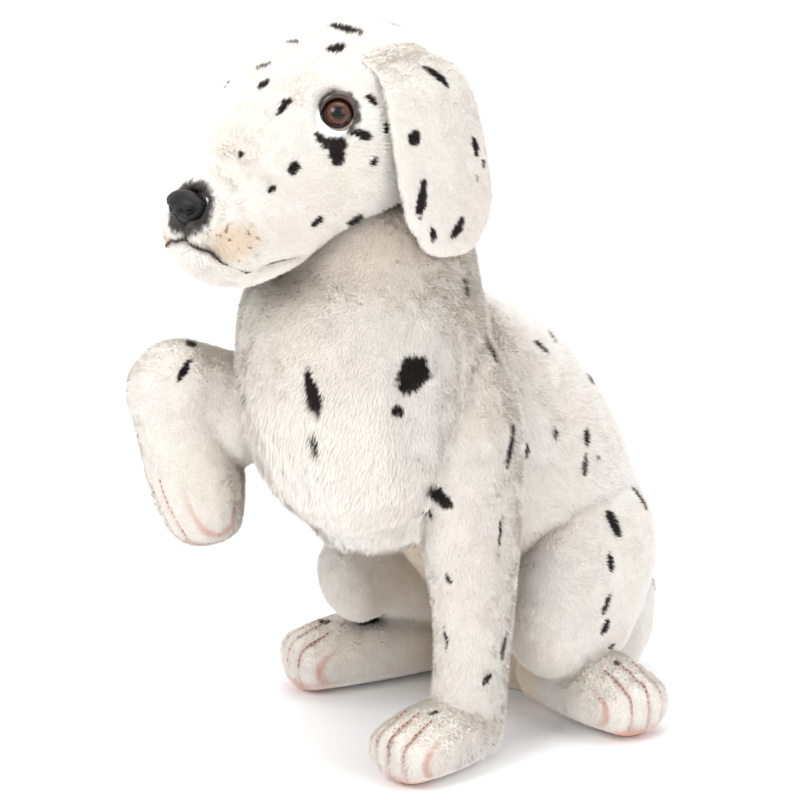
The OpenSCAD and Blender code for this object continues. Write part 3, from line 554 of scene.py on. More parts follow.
# %% Put the spots on a coat
class Spots:
    """A coat's spots, each snapped to the coat's surface."""

    def __init__(self, piece, table, origin=ORIGIN, axes=WORLD_AXES):
        tree = BVHTree.FromObject(piece, bpy.context.evaluated_depsgraph_get())
        self.marks = []
        for x, y, z, length, width, lean in table:
            spot, normal = tree.find_nearest(Vector(placed((x, y, z), origin, axes)[0]))[:2]
            normal = np.array(normal)
            up = unit(np.array((0, 0, 1.0)) - normal * normal[2])
            aside = np.cross(up, normal)
            turn = math.radians(lean)
            along = math.cos(turn) * up + math.sin(turn) * aside
            self.marks.append((np.array(spot), along, np.cross(normal, along), normal, length / 2, width / 2))

    def cover(self, points):
        """How much ink each point takes, from 0 to 1."""
        ink = np.zeros(len(points))
        rough = noise(points, 1.6, 5) - 0.5
        lumpy = noise(points, 5.0, 6) - 0.5
        for spot, along, across, normal, half_l, half_w in self.marks:
            near = np.flatnonzero(np.abs(points - spot).max(1) < (half_l + 4) * MM)
            d = (points[near] - spot) / MM
            reach = np.sqrt((d @ along / half_l) ** 2 + np.abs(d @ across / half_w) ** 2)
            ragged = 0.9 / min(half_w, 4) * rough[near] * 1.6 + 0.45 * lumpy[near]
            level = ramp(-(reach + ragged), -1.12, -0.88) * ramp(-np.abs(d @ normal), -half_l - 3, -half_l)
            ink[near] = np.maximum(ink[near], level)
        return ink


# %% The colour rule of each part
def mixed(a, b, share):
    return a + (b - a) * np.clip(share, 0, 1)[:, None]


def ground(points):
    """Undyed plush: ivory with slow drifts of cream and rose."""
    colour = np.broadcast_to(IVORY, (len(points), 3)).copy()
    colour = mixed(colour, CREAM, 0.5 * noise(points, 34, 11))
    return mixed(colour, ROSE, 0.16 * noise(points, 26, 12))


def paw_tint(points, colour, names):
    """Airbrushed blush along the toe valleys and round the sole."""
    for name in names:
        paw = PAWS[name]
        q = local(points, np.array(paw["at"]) * MM, paw_axes(paw))
        near = ramp(-np.linalg.norm(q, axis=1), -52, -30) * ramp(q[:, 1], 10 - paw["long"], 4)
        phase = np.abs(np.sin((q[:, 0] / (1 + 0.006 * q[:, 1]) / paw["wide"] + 0.5) * 4 * math.pi))
        colour = mixed(colour, BLUSH, 0.6 * near * ramp(-phase, -0.45, -0.05))
        sole = ramp(-q[:, 2], 4, 13) if name != "raised" else ramp(q[:, 1], 6, 16)
        colour = mixed(colour, BLUSH, 0.75 * near * sole * (0.5 + noise(points, 5, 13)))
    return colour


def body_colour(points):
    colour = ground(points)
    x, y, z = points.T / MM
    # Painted shade: a tan tint on the inner thighs and the belly between the legs, standing for the shadow
    # and warm bounce light there
    between = ramp(-z, -150, -100) * ramp(-np.abs(x), -62, -30) * ramp(-y, 0, 60) * ramp(y, -176, -140)
    colour = mixed(colour, TAN, 0.55 * between)
    # Painted shade: a faint tan tint round the neck under the chin, standing for the shadow and bounce light
    # under the head
    colour = mixed(colour, TAN, 0.18 * ramp(z, 268, 296) * ramp(-y, 150, 200))
    colour = paw_tint(points, colour, ("left_fore", "left_hind", "right_hind"))
    return mixed(colour, INK, BODY_INK.cover(points))


def head_colour(points):
    colour = ground(points)
    q = local(points)
    flews = np.maximum(*[
        ramp(-np.linalg.norm((q - np.array((24, -100, -30)) * side) / (13, 17, 12), axis=1), -1.2, -0.5)
        for side in both_sides])
    colour = mixed(colour, TAN, 0.55 * flews)
    freckle = ramp(noise(points, 2.1, 21), 0.70, 0.80) * flews
    colour = mixed(colour, SEPIA, 0.9 * freckle)
    for side in both_sides:
        lip = line_distance(q * side, MOUTH) + 1.6 * (noise(points, 1.8, 22) - 0.5)
        colour = mixed(colour, SEPIA, 0.5 * ramp(-lip, -3.6, -1.2))
        colour = mixed(colour, INK, 0.95 * ramp(-lip, -1.6, -0.5))
        rim = np.linalg.norm(q - np.array(EYE) * side, axis=1) + 2.4 * (noise(points, 2.4, 24) - 0.5)
        colour = mixed(colour, INK, 0.85 * ramp(-rim, -13, -11))
    halo = np.linalg.norm((q - (0, -111, -12)) / (1.12, 1, 0.92), axis=1)
    halo = halo + 3.4 * (noise(points, 2.2, 23) - 0.5)
    colour = mixed(colour, INK, 0.93 * ramp(-halo, -17.5, -14.5))
    return mixed(colour, INK, HEAD_INK.cover(points))


def ear_colour(points, ink):
    colour = ground(points)
    q = local(points)
    inside = ramp(-np.abs(q[:, 0]), -60, -56) * ramp(-q[:, 2], -12, 6)
    colour = mixed(colour, ROSE, 0.6 * inside)
    return mixed(colour, INK, ink.cover(points))


def leg_colour(points):
    colour = paw_tint(points, ground(points), ("raised",))
    return mixed(colour, INK, LEG_INK.cover(points))


def tail_colour(points):
    return mixed(ground(points), INK, TAIL_INK.cover(points))


BODY_INK = Spots(body_coat, BODY_SPOTS)
HEAD_INK = Spots(head_coat, HEAD_SPOTS, HEAD, HEAD_AXES)
LEFT_EAR_INK = Spots(left_ear_coat, EAR_SPOTS, HEAD, HEAD_AXES)
RIGHT_EAR_INK = Spots(right_ear_coat, RIGHT_EAR_SPOTS, HEAD, HEAD_AXES)
LEG_INK = Spots(leg_coat, LEG_SPOTS)
TAIL_INK = Spots(tail_coat, TAIL_SPOTS)
inks = (BODY_INK, HEAD_INK, LEFT_EAR_INK, RIGHT_EAR_INK, LEG_INK, TAIL_INK)
print("spots:", sum(len(ink.marks) for ink in inks))

# %% [markdown]
# ## The pile
#
# Plush is woven with loops that are cut open, so the cloth carries short
# upright fibres that all lean one way, the nap. Hair particles would draw
# them, but they are lost when a model is exported. Here a Geometry Nodes tree
# scatters points over the coat and stands one thin blade on each. Three
# attributes on the coat steer it: how dense, how long, and which way to lean.

# %% The pile tree
def node(tree, kind, **settings):
    made = tree.nodes.new(kind)
    for key, value in settings.items():
        setattr(made, key, value)
    return made


def sockets(tree, *wanted):
    """Adds inputs (name, type, default) to a node tree."""
    for name, kind, default in wanted:
        made = tree.interface.new_socket(name, in_out="INPUT", socket_type="NodeSocket" + kind)
        if default is not None:
            made.default_value = default


def attribute(tree, name, kind="FLOAT"):
    read = node(tree, "GeometryNodeInputNamedAttribute", data_type=kind)
    read.inputs["Name"].default_value = name
    return read.outputs["Attribute"]


def chance(tree, low, high, seed, kind="FLOAT"):
    pick = node(tree, "FunctionNodeRandomValue", data_type=kind)
    first, out = (0, 0) if kind == "FLOAT_VECTOR" else (2, 1)
    for socket, value in ((pick.inputs[first], low), (pick.inputs[first + 1], high)):
        if hasattr(value, "links"):
            tree.links.new(value, socket)
        else:
            socket.default_value = value
    tree.links.new(seed, pick.inputs[8])
    return pick.outputs[out]


def sums(tree, operation, a, b):
    made = node(tree, "ShaderNodeMath", operation=operation)
    for socket, value in zip(made.inputs, (a, b)):
        if hasattr(value, "links"):
            tree.links.new(value, socket)
        else:
            socket.default_value = value
    return made.outputs[0]


pile_tree = bpy.data.node_groups.new("pile", "GeometryNodeTree")
sockets(pile_tree, ("Coat", "Geometry", None), ("Fibres per square metre", "Float", 4.0e6),
        ("Width", "Float", 0.0004), ("Unevenness", "Float", 0.25), ("Seed", "Int", 1),
        ("Finish", "Material", None))
pile_tree.interface.new_socket("Pile", in_out="OUTPUT", socket_type="NodeSocketGeometry")
link = pile_tree.links.new
given = node(pile_tree, "NodeGroupInput").outputs
scatter = node(pile_tree, "GeometryNodeDistributePointsOnFaces", distribute_method="RANDOM")
link(given["Coat"], scatter.inputs["Mesh"])
link(sums(pile_tree, "MULTIPLY", given["Fibres per square metre"], attribute(pile_tree, "density")),
     scatter.inputs["Density"])
link(given["Seed"], scatter.inputs["Seed"])
disc = node(pile_tree, "GeometryNodeMeshCircle", fill_type="NGON")
disc.inputs["Vertices"].default_value = 3
blade = node(pile_tree, "GeometryNodeTransform")
link(disc.outputs["Mesh"], blade.inputs["Geometry"])
blade.inputs["Scale"].default_value = (1 / 1.5, 1 / math.sqrt(3), 1)
blade.inputs["Translation"].default_value = (1 / 3, 0, 0)
stray = chance(pile_tree, (-1, -1, -1), (1, 1, 1), given["Seed"], "FLOAT_VECTOR")
scaled = node(pile_tree, "ShaderNodeVectorMath", operation="SCALE")
link(stray, scaled.inputs[0])
link(given["Unevenness"], scaled.inputs["Scale"])
lean = node(pile_tree, "ShaderNodeVectorMath", operation="ADD")
link(attribute(pile_tree, "lay", "FLOAT_VECTOR"), lean.inputs[0])
link(scaled.outputs[0], lean.inputs[1])
point_it = node(pile_tree, "FunctionNodeAlignRotationToVector", axis="X")
link(lean.outputs[0], point_it.inputs["Vector"])
face_it = node(pile_tree, "FunctionNodeAlignRotationToVector", axis="Z", pivot_axis="X")
link(point_it.outputs[0], face_it.inputs["Rotation"])
link(scatter.outputs["Normal"], face_it.inputs["Vector"])
size = node(pile_tree, "ShaderNodeCombineXYZ")
link(sums(pile_tree, "MULTIPLY", attribute(pile_tree, "length"),
          chance(pile_tree, 0.62, 1.12, given["Seed"])), size.inputs[0])
link(sums(pile_tree, "MULTIPLY", given["Width"], chance(pile_tree, 0.7, 1.3, given["Seed"])), size.inputs[1])
size.inputs[2].default_value = 1
skin = node(pile_tree, "GeometryNodeStoreNamedAttribute", data_type="FLOAT_VECTOR", domain="POINT")
skin.inputs["Name"].default_value = "skin"
link(scatter.outputs["Points"], skin.inputs["Geometry"])
link(scatter.outputs["Normal"], skin.inputs["Value"])
plant = node(pile_tree, "GeometryNodeInstanceOnPoints")
for made, socket in ((skin.outputs[0], "Points"), (blade.outputs[0], "Instance"),
                     (face_it.outputs[0], "Rotation"), (size.outputs[0], "Scale")):
    link(made, plant.inputs[socket])
real = node(pile_tree, "GeometryNodeRealizeInstances")
link(plant.outputs[0], real.inputs[0])
dye = node(pile_tree, "GeometryNodeSetMaterial")
link(real.outputs[0], dye.inputs["Geometry"])
link(given["Finish"], dye.inputs["Material"])
link(dye.outputs[0], node(pile_tree, "NodeGroupOutput").inputs[0])


def set_input(modifier, name, value):
    item = modifier.node_group.interface.items_tree[name]
    modifier[item.identifier] = value


# %% [markdown]
# ## Finishes
#
# The plush reads its colour from the ink attribute and adds only what single
# fibres do: small differences in shade, and a sheen where they are seen from
# the side. Effects that several finishes share are node groups.

# %% Shared effects: drifting shade, and a woven grain
def shader_group(name, inputs, outputs):
    group = bpy.data.node_groups.new(name, "ShaderNodeTree")
    sockets(group, *inputs)
    for title, kind in outputs:
        group.interface.new_socket(title, in_out="OUTPUT", socket_type="NodeSocket" + kind)
    return group, node(group, "NodeGroupInput").outputs, node(group, "NodeGroupOutput").inputs


drift, given, put = shader_group("drifting shade", [
    ("Colour", "Color", (1, 1, 1, 1)), ("Size", "Float", 300.0),
    ("Dark", "Float", 0.8), ("Light", "Float", 1.05)],
    [("Colour", "Color"), ("Mask", "Float")])
place = node(drift, "ShaderNodeTexCoord")
cloud = node(drift, "ShaderNodeTexNoise")
cloud.inputs["Detail"].default_value = 4
drift.links.new(place.outputs["Object"], cloud.inputs["Vector"])
drift.links.new(given["Size"], cloud.inputs["Scale"])
spread = node(drift, "ShaderNodeMapRange")
spread.inputs["From Min"].default_value, spread.inputs["From Max"].default_value = 0.3, 0.7
drift.links.new(cloud.outputs[0], spread.inputs["Value"])
drift.links.new(given["Dark"], spread.inputs["To Min"])
drift.links.new(given["Light"], spread.inputs["To Max"])
tinted = node(drift, "ShaderNodeVectorMath", operation="SCALE")
drift.links.new(given["Colour"], tinted.inputs[0])
drift.links.new(spread.outputs[0], tinted.inputs["Scale"])
drift.links.new(tinted.outputs[0], put["Colour"])
drift.links.new(cloud.outputs[0], put["Mask"])

weave, given, put = shader_group("woven grain", [("Threads", "Float", 2600.0)], [("Height", "Float")])
place = node(weave, "ShaderNodeTexCoord")
heights = []
for direction in ("X", "Y"):
    wave = node(weave, "ShaderNodeTexWave", bands_direction=direction, wave_profile="SIN")
    wave.inputs["Distortion"].default_value = 1.2
    weave.links.new(place.outputs["Object"], wave.inputs["Vector"])
    weave.links.new(given["Threads"], wave.inputs["Scale"])
    heights.append(wave.outputs["Fac"])
weave.links.new(sums(weave, "MAXIMUM", *heights), put["Height"])


# %% A finish: one Principled shader, its constants, and what varies
def finish(name, colour, rough=0.6, grain=300.0, dark=0.85, light=1.06, bump=0.0, woven=0.0, **constants):
    made = bpy.data.materials.new(name)
    made.use_nodes = True
    tree = made.node_tree
    shader = tree.nodes["Principled BSDF"]
    for key, value in constants.items():
        shader.inputs[key.replace("_", " ")].default_value = value
    shade = node(tree, "ShaderNodeGroup", node_tree=drift)
    shade.inputs["Size"].default_value = grain
    shade.inputs["Dark"].default_value, shade.inputs["Light"].default_value = dark, light
    if isinstance(colour, str):
        read = node(tree, "ShaderNodeAttribute", attribute_name=colour)
        tree.links.new(read.outputs["Color"], shade.inputs["Colour"])
    else:
        shade.inputs["Colour"].default_value = (*colour, 1)
    tree.links.new(shade.outputs["Colour"], shader.inputs["Base Color"])
    worn = node(tree, "ShaderNodeMapRange")
    worn.inputs["To Min"].default_value = rough * 0.82
    worn.inputs["To Max"].default_value = min(rough * 1.15, 1)
    tree.links.new(shade.outputs["Mask"], worn.inputs["Value"])
    tree.links.new(worn.outputs[0], shader.inputs["Roughness"])
    if bump or woven:
        rise = node(tree, "ShaderNodeBump")
        rise.inputs["Strength"].default_value = bump or woven
        rise.inputs["Distance"].default_value = 0.0004
        height = shade.outputs["Mask"]
        if woven:
            cloth = node(tree, "ShaderNodeGroup", node_tree=weave)
            height = cloth.outputs["Height"]
        tree.links.new(height, rise.inputs["Height"])
        tree.links.new(rise.outputs[0], shader.inputs["Normal"])
    return made


pile_finish = finish("plush_pile", "paint", 0.72, 900, 0.93, 1.04, Sheen_Weight=0.14, Sheen_Roughness=0.4,
                     Specular_IOR_Level=0.25)
coat_finish = finish("plush_backing", "paint", 0.9, 700, 0.92, 1.0, bump=0.4, Sheen_Weight=0.06,
                     Sheen_Roughness=0.5, Specular_IOR_Level=0.15)
thread_finish = finish("stitch_thread", tone(168, 112, 96), 0.6, 2500, 0.7, 1.1, bump=0.5, Sheen_Weight=0.2)
mouth_finish = finish("mouth_thread", tone(34, 22, 19), 0.55, 2500, 0.7, 1.3, bump=0.5, Sheen_Weight=0.2)
lid_finish = finish("eyelid_brown", tone(58, 33, 24), 0.26, 260, 0.7, 1.15, bump=0.05, Coat_Weight=0.6,
                    Coat_Roughness=0.12)
lash_finish = finish("lower_lid", tone(150, 132, 120), 0.45, 500, 0.8, 1.1, bump=0.1, Coat_Weight=0.2)
nose_finish = finish("nose_black", tone(15, 12, 12), 0.5, 900, 0.7, 1.3, bump=0.6, Coat_Weight=0.08,
                     Coat_Roughness=0.3, Specular_IOR_Level=0.28)
INSIDE = {
    "seat_cloth": finish("seat_cloth", tone(232, 226, 214), 0.85, 200, 0.9, 1.04, woven=0.6,
                         Sheen_Weight=0.2),
    "fibre_fill": finish("fibre_fill", tone(240, 240, 236), 0.95, 500, 0.86, 1.05, bump=0.8,
                         Sheen_Weight=0.4),
    "pellet_cloth": finish("pellet_cloth", tone(214, 210, 200), 0.85, 240, 0.88, 1.05, woven=0.6),
    "inner_plastic": finish("inner_plastic", tone(226, 228, 226), 0.38, 150, 0.94, 1.03, bump=0.06),
    "steel": finish("drawn_steel", tone(176, 178, 182), 0.3, 1200, 0.85, 1.05, bump=0.12, Metallic=1.0),
    "fibreboard": finish("fibreboard", tone(120, 92, 62), 0.8, 1400, 0.75, 1.12, bump=0.4),
    "spotted_plush": coat_finish,
    "eyelid_brown": lid_finish,
    "nose_black": nose_finish,
}
print("finishes:", len(bpy.data.materials))

# %% Attributes on a mesh, and a mesh made from loose fibres
FIBRES_PER_PIECE, FLOOR_GAP = 190000, 0.25 * MM


def store(mesh, name, kind, values, domain="POINT"):
    layer = mesh.attributes.new(name, kind, domain)
    field = {"FLOAT": "value", "FLOAT_VECTOR": "vector", "FLOAT_COLOR": "color"}[kind]
    layer.data.foreach_set(field, np.ascontiguousarray(values, np.float32).ravel())


def with_alpha(colour):
    return np.concatenate([colour, np.ones((len(colour), 1))], 1)


def blades_mesh(name, corners, colours, normals):
    count = len(corners)
    mesh = bpy.data.meshes.new(name)
    mesh.vertices.add(count * 3)
    mesh.loops.add(count * 3)
    mesh.polygons.add(count)
    mesh.vertices.foreach_set("co", corners.astype(np.float32).ravel())
    mesh.loops.foreach_set("vertex_index", np.arange(count * 3, dtype=np.int32))
    mesh.polygons.foreach_set("loop_start", np.arange(0, count * 3, 3, dtype=np.int32))
    mesh.update(calc_edges=True)
    mesh.materials.append(pile_finish)
    store(mesh, "paint", "FLOAT_COLOR", colours)
    mesh.shade_smooth()
    mesh.normals_split_custom_set_from_vertices(np.repeat(normals, 3, 0))
    return mesh


# %% Lay the pile on a coat, ink it, and split it into pieces
def lay_pile(coat, colour, length_mm, nap, rise, density, seed, per_mm2=4.2, width_mm=0.42):
    """Returns the pile pieces of one coat. nap and rise set the lean at each coat point."""
    mesh = coat.data
    co, no = mesh_coords(mesh), mesh_normals(mesh)
    nap = unit(nap)
    flat = nap - no * (nap * no).sum(1, keepdims=True)
    strong = np.linalg.norm(flat, axis=1)
    flat = flat / (strong + 0.22)[:, None] * 1.22
    length_mm = length_mm * (0.72 + 0.28 * ramp(strong, 0.1, 0.6))
    clump = np.stack([noise(co, 7, seed + k) for k in range(3)], 1) - 0.5
    tuft = np.stack([noise(co, 2.6, seed + 5 + k) for k in range(3)], 1) - 0.5
    rise = np.broadcast_to(rise, len(co))[:, None]
    store(mesh, "lay", "FLOAT_VECTOR", unit(rise * no + (1 - rise) * flat + 0.22 * clump + 0.30 * tuft))
    store(mesh, "length", "FLOAT", length_mm * MM)
    store(mesh, "density", "FLOAT", density)
    store(mesh, "paint", "FLOAT_COLOR", with_alpha(colour(co)))
    mesh.materials.clear()
    mesh.materials.append(coat_finish)
    grow = coat.modifiers.new("pile", "NODES")
    grow.node_group = pile_tree
    set_input(grow, "Fibres per square metre", per_mm2 * 1e6)
    set_input(grow, "Width", width_mm * MM)
    set_input(grow, "Seed", seed)
    set_input(grow, "Finish", pile_finish)
    graph = bpy.context.evaluated_depsgraph_get()
    grown = bpy.data.meshes.new_from_object(coat.evaluated_get(graph))
    coat.modifiers.clear()
    corners = mesh_coords(grown).reshape(-1, 3, 3)
    skin = np.empty(len(grown.vertices) * 3, np.float32)
    grown.attributes["skin"].data.foreach_get("vector", skin)
    bpy.data.meshes.remove(grown)
    clear = corners[:, :, 2].min(1) > FLOOR_GAP
    corners, skin = corners[clear], skin.reshape(-1, 3, 3)[clear, 0]
    root = (corners[:, 1] + corners[:, 2]) / 2
    facing = unit(np.cross(corners[:, 1] - corners[:, 0], corners[:, 2] - corners[:, 0]))
    outward = (facing * skin).sum(1)
    turned = outward < 0
    corners[turned] = corners[turned][:, (0, 2, 1)]
    facing[turned] *= -1
    normals = unit(0.72 * skin + 0.28 * facing)
    shade = colour(root)
    fleck = 0.94 + 0.1 * lattice(np.round(root / (0.3 * MM)).astype(np.int64), seed + 9)
    tips = shade * fleck[:, None]
    colours = np.repeat(with_alpha(tips)[:, None], 3, 1)
    # Painted shade: the two root corners of each fibre are 7% darker, standing for the shade deep in the pile
    colours[:, 1:, :3] *= 0.93
    order = np.argsort(root[:, 2] + root[:, 1] * 1e-3, kind="stable")
    parts = math.ceil(len(order) / FIBRES_PER_PIECE)
    made = []
    for k, chosen in enumerate(np.array_split(order, parts)):
        name = coat.name.replace("coat", "pile") + (f"_{k + 1}" if parts > 1 else "")
        made.append(new_piece(name, blades_mesh(name, corners[chosen], colours[chosen], normals[chosen])))
    longest = np.linalg.norm(corners[:, 0] - root, axis=1).max() / MM
    print(f"{coat.name}: {len(corners)} fibres, longest {longest:.1f} mm,"
          f" {turned.mean():.0%} turned over, mean lift {np.abs(outward).mean():.2f}")
    return made


# %% [markdown]
# ## Which way the nap runs
#
# A pattern cutter lays every panel so that its nap runs down and away from
# the nose, and a hand strokes the toy that way. The pile is short on the
# face, the ears and the legs. It is long and silky only down the chest and
# the belly, where a second, longer cloth is used.

# %% The body's pile
def toward(points, direction):
    return np.broadcast_to(np.array(direction, float), points.shape)


def mixed_way(a, b, share):
    return a + (b - a) * share[:, None]


def covered(co, no, other, reach_mm):
    """True where another coat lies close over a point."""
    tree = BVHTree.FromObject(other, bpy.context.evaluated_depsgraph_get())
    return np.array([tree.ray_cast(Vector(p), Vector(n), reach_mm * MM)[0] is not None
                     for p, n in zip(co, no)])


co, no = mesh_coords(body_coat.data), mesh_normals(body_coat.data)
x, y, z = co.T / MM
nap = mixed_way(toward(co, (0, -0.55, -1)), toward(co, (0, 0.5, -0.85)), ramp(y, -150, -70))
for name in ("left_fore", "left_hind", "right_hind"):
    paw = PAWS[name]
    near = ramp(-np.linalg.norm(local(co, np.array(paw["at"]) * MM, WORLD_AXES), axis=1), -60, -36)
    nap = nap + toward(co, (*paw["ahead"][:2], 0)) * (1.6 * near * ramp(no[:, 2], 0.1, 0.7))[:, None]
silky = ramp(-y, 128, 165) * ramp(z, 96, 130) * ramp(-z, -236, -200) * ramp(-np.abs(x), -56, -36)
silky *= (body_label != FORELEG)
length = 3.6 + 0.9 * ramp(y, -140, -60) * ramp(z, 60, 120) + 7.0 * silky
on_limb = (body_label == FORELEG) | (body_label == LEFT_HIND) | (body_label == RIGHT_HIND)
length = np.where(on_limb, 3.0, length)
length += (4.4 - length) * ramp(z, 262, 280)
for name in ("left_fore", "left_hind", "right_hind"):
    paw = PAWS[name]
    near = ramp(-np.linalg.norm(local(co, np.array(paw["at"]) * MM, WORLD_AXES), axis=1), -46, -30)
    length += (2.5 - length) * near
rise = 0.62 - 0.34 * silky
cup = (np.linalg.norm(co - LOBE, axis=1) < 38 * MM) & covered(co, no, leg_coat, 5)
cup |= (np.linalg.norm(co - TAIL, axis=1) < 20 * MM) & covered(co, no, tail_coat, 5)
hollow = (z > 280) & covered(co, no, head_coat, 8)
length = np.where(hollow, 1.3, length)
hollow &= z > 322
sole = (no[:, 2] < -0.55) & (z < 9)
patch_low, patch_high = (np.array(v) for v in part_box("seat_patch"))
under_patch = (body_label == PATCH) & (z < 6)
density = 1.0 - 1.0 * (cup | hollow | sole | under_patch)
body_pile = lay_pile(body_coat, body_colour, length, nap, rise, density, 101)

# %% The head's pile
co, no = mesh_coords(head_coat.data), mesh_normals(head_coat.data)
q = local(co)
from_nose = unit(q - (0, -118, -2))
nap = (from_nose + toward(co, (0, 0.25, -0.2))) @ HEAD_AXES.T
length = 2.4 + 1.0 * ramp(q[:, 1], -80, -30) + 0.6 * ramp(-q[:, 2], 30, 50)
density = np.ones(len(co))
for side in both_sides:
    gap = np.linalg.norm(q - np.array(EYE) * side, axis=1)
    density *= ramp(gap, 8.4, 9.4)
    length *= 0.55 + 0.45 * ramp(gap, 11, 17)
gap = np.linalg.norm((q - (0, -110, -12)) / (1.2, 1, 0.92), axis=1)
density *= ramp(gap, 9.4, 10.6)
length *= 0.6 + 0.4 * ramp(gap, 11, 18)
density *= np.linalg.norm(co - NECK, axis=1) > 57 * MM
head_pile = lay_pile(head_coat, head_colour, length, nap, 0.6, density, 102)

# %% The ears, the raised leg and the tail
ear_piles = {}
for name, coat, ink, seed in (("left_ear", left_ear_coat, LEFT_EAR_INK, 103),
                              ("right_ear", right_ear_coat, RIGHT_EAR_INK, 104)):
    co, no = mesh_coords(coat.data), mesh_normals(coat.data)
    over_the_top = np.sign(co[:, 0]) * ramp(no[:, 2], 0.2, 0.8) * 0.8
    nap = toward(co, (0, 0.12, -1)) + np.stack([over_the_top, 0 * co[:, 1], 0 * co[:, 2]], 1)
    ear_piles[name] = lay_pile(coat, lambda points, ink=ink: ear_colour(points, ink), np.full(len(co), 2.4),
                               nap, 0.55, np.ones(len(co)), seed)
co, no = mesh_coords(leg_coat.data), mesh_normals(leg_coat.data)
hidden = (np.linalg.norm(co - LOBE, axis=1) < 36 * MM) & covered(co, no, body_coat, 5)
leg_pile = lay_pile(leg_coat, leg_colour, np.full(len(co), 2.7), toward(co, (-0.36, -0.62, -0.7)), 0.58,
                    1.0 - hidden, 105)
co, no = mesh_coords(tail_coat.data), mesh_normals(tail_coat.data)
hidden = (np.linalg.norm(co - TAIL, axis=1) < 20 * MM) & covered(co, no, body_coat, 5)
tail_pile = lay_pile(tail_coat, tail_colour, np.full(len(co), 3.2), toward(co, (-1, 0.2, -0.1)), 0.6,
                     1.0 - (hidden | (co[:, 2] < 2 * MM)), 106)

# %% [markdown]
# ## Eyes, lids and nose
#
# Each eye is a moulded safety eye: a clear dome over a printed iris, with a
# shank through the cloth. The dome keeps its CAD shape and gets its depth
# from colour rings round its axis. The lids are rolls of thin brown vinyl
# that taper to nothing at their ends, so they are swept tubes.

# %% The iris, as colours by angle from the eye's axis
iris, given, put = shader_group("iris", [("Centre", "Vector", None), ("Axis", "Vector", None)],
                                [("Colour", "Color"), ("Mask", "Float")])
place = node(iris, "ShaderNodeTexCoord")
arm = node(iris, "ShaderNodeVectorMath", operation="SUBTRACT")
iris.links.new(place.outputs["Object"], arm.inputs[0])
iris.links.new(given["Centre"], arm.inputs[1])
ray = node(iris, "ShaderNodeVectorMath", operation="NORMALIZE")
iris.links.new(arm.outputs[0], ray.inputs[0])
facing = node(iris, "ShaderNodeVectorMath", operation="DOT_PRODUCT")
iris.links.new(ray.outputs[0], facing.inputs[0])
iris.links.new(given["Axis"], facing.inputs[1])
angle = sums(iris, "ARCCOSINE", facing.outputs["Value"], 0)
streak = node(iris, "ShaderNodeTexNoise")
streak.inputs["Scale"].default_value = 5.0
streak.inputs["Detail"].default_value = 3
iris.links.new(ray.outputs[0], streak.inputs["Vector"])
rings = node(iris, "ShaderNodeValToRGB")
stops = rings.color_ramp
stops.elements[0].position, stops.elements[0].color = 0.0, (*tone(6, 5, 6), 1)
stops.elements[1].position, stops.elements[1].color = 1.0, (*tone(24, 14, 12), 1)
for spot, colour in ((0.27, tone(7, 5, 6)), (0.32, tone(62, 34, 20)), (0.48, tone(92, 54, 32)),
                     (0.64, tone(34, 19, 14))):
    stop = stops.elements.new(spot)
    stop.color = (*colour, 1)
wobble = sums(iris, "ADD", sums(iris, "MULTIPLY", angle, 0.68),
              sums(iris, "MULTIPLY", streak.outputs[0], 0.12))
iris.links.new(sums(iris, "SUBTRACT", wobble, 0.06), rings.inputs[0])
iris.links.new(rings.outputs[0], put["Colour"])
iris.links.new(streak.outputs[0], put["Mask"])


def eye_finish(name, centre, axis):
    made = finish(name, tone(20, 12, 10), 0.06, 200, 1, 1, Coat_Weight=0.35, Coat_Roughness=0.02,
                  Specular_IOR_Level=0.22)
    tree = made.node_tree
    printed = node(tree, "ShaderNodeGroup", node_tree=iris)
    printed.inputs["Centre"].default_value, printed.inputs["Axis"].default_value = centre, axis
    tree.links.new(printed.outputs["Colour"], tree.nodes["Principled BSDF"].inputs["Base Color"])
    return made


# %% Lids, rolled along part of a ring round each eye
def eye_axes(side):
    out = unit(np.array(EYE_OUT) * side)
    rear = unit(np.array((0, 1, 0)) - out * out[1])
    up = np.cross(out, rear)
    up *= np.sign(up[2])
    return np.stack([rear, up, out], 1)


def lid_roll(name, side, start, stop, ring_mm, thick_mm, deep_mm, rise_mm, steps=48, round_steps=14):
    """A tapered roll, closed at both ends. start and stop are angles from the rear, over the top."""
    axes = eye_axes(side)
    rows = []
    for t in np.linspace(0, 1, steps):
        turn = math.radians(start + (stop - start) * t)
        full = max(math.sin(math.pi * min(max(t, 0.004), 0.996)) ** 0.55, 0.05)
        ring = np.array((math.cos(turn), math.sin(turn), 0))
        for u in np.linspace(0, 2 * math.pi, round_steps, endpoint=False):
            rows.append(ring * (ring_mm + thick_mm * full * math.cos(u) + 0.35 * thick_mm * full)
                        + np.array((0, 0, rise_mm * full + deep_mm * full * math.sin(u))))
    points = placed(np.array(rows) @ axes.T + np.array(EYE) * side)
    bm = bmesh.new()
    verts = [bm.verts.new(p) for p in points]
    for i in range(steps - 1):
        for j in range(round_steps):
            k = (j + 1) % round_steps
            bm.faces.new([verts[a * round_steps + b] for a, b in ((i, j), (i, k), (i + 1, k), (i + 1, j))])
    bm.faces.new(verts[:round_steps])
    bm.faces.new(verts[-round_steps:])
    bmesh.ops.recalc_face_normals(bm, faces=bm.faces)
    mesh = bpy.data.meshes.new(name)
    bm.to_mesh(mesh)
    bm.free()
    mesh.shade_smooth()
    return new_piece(name, mesh)


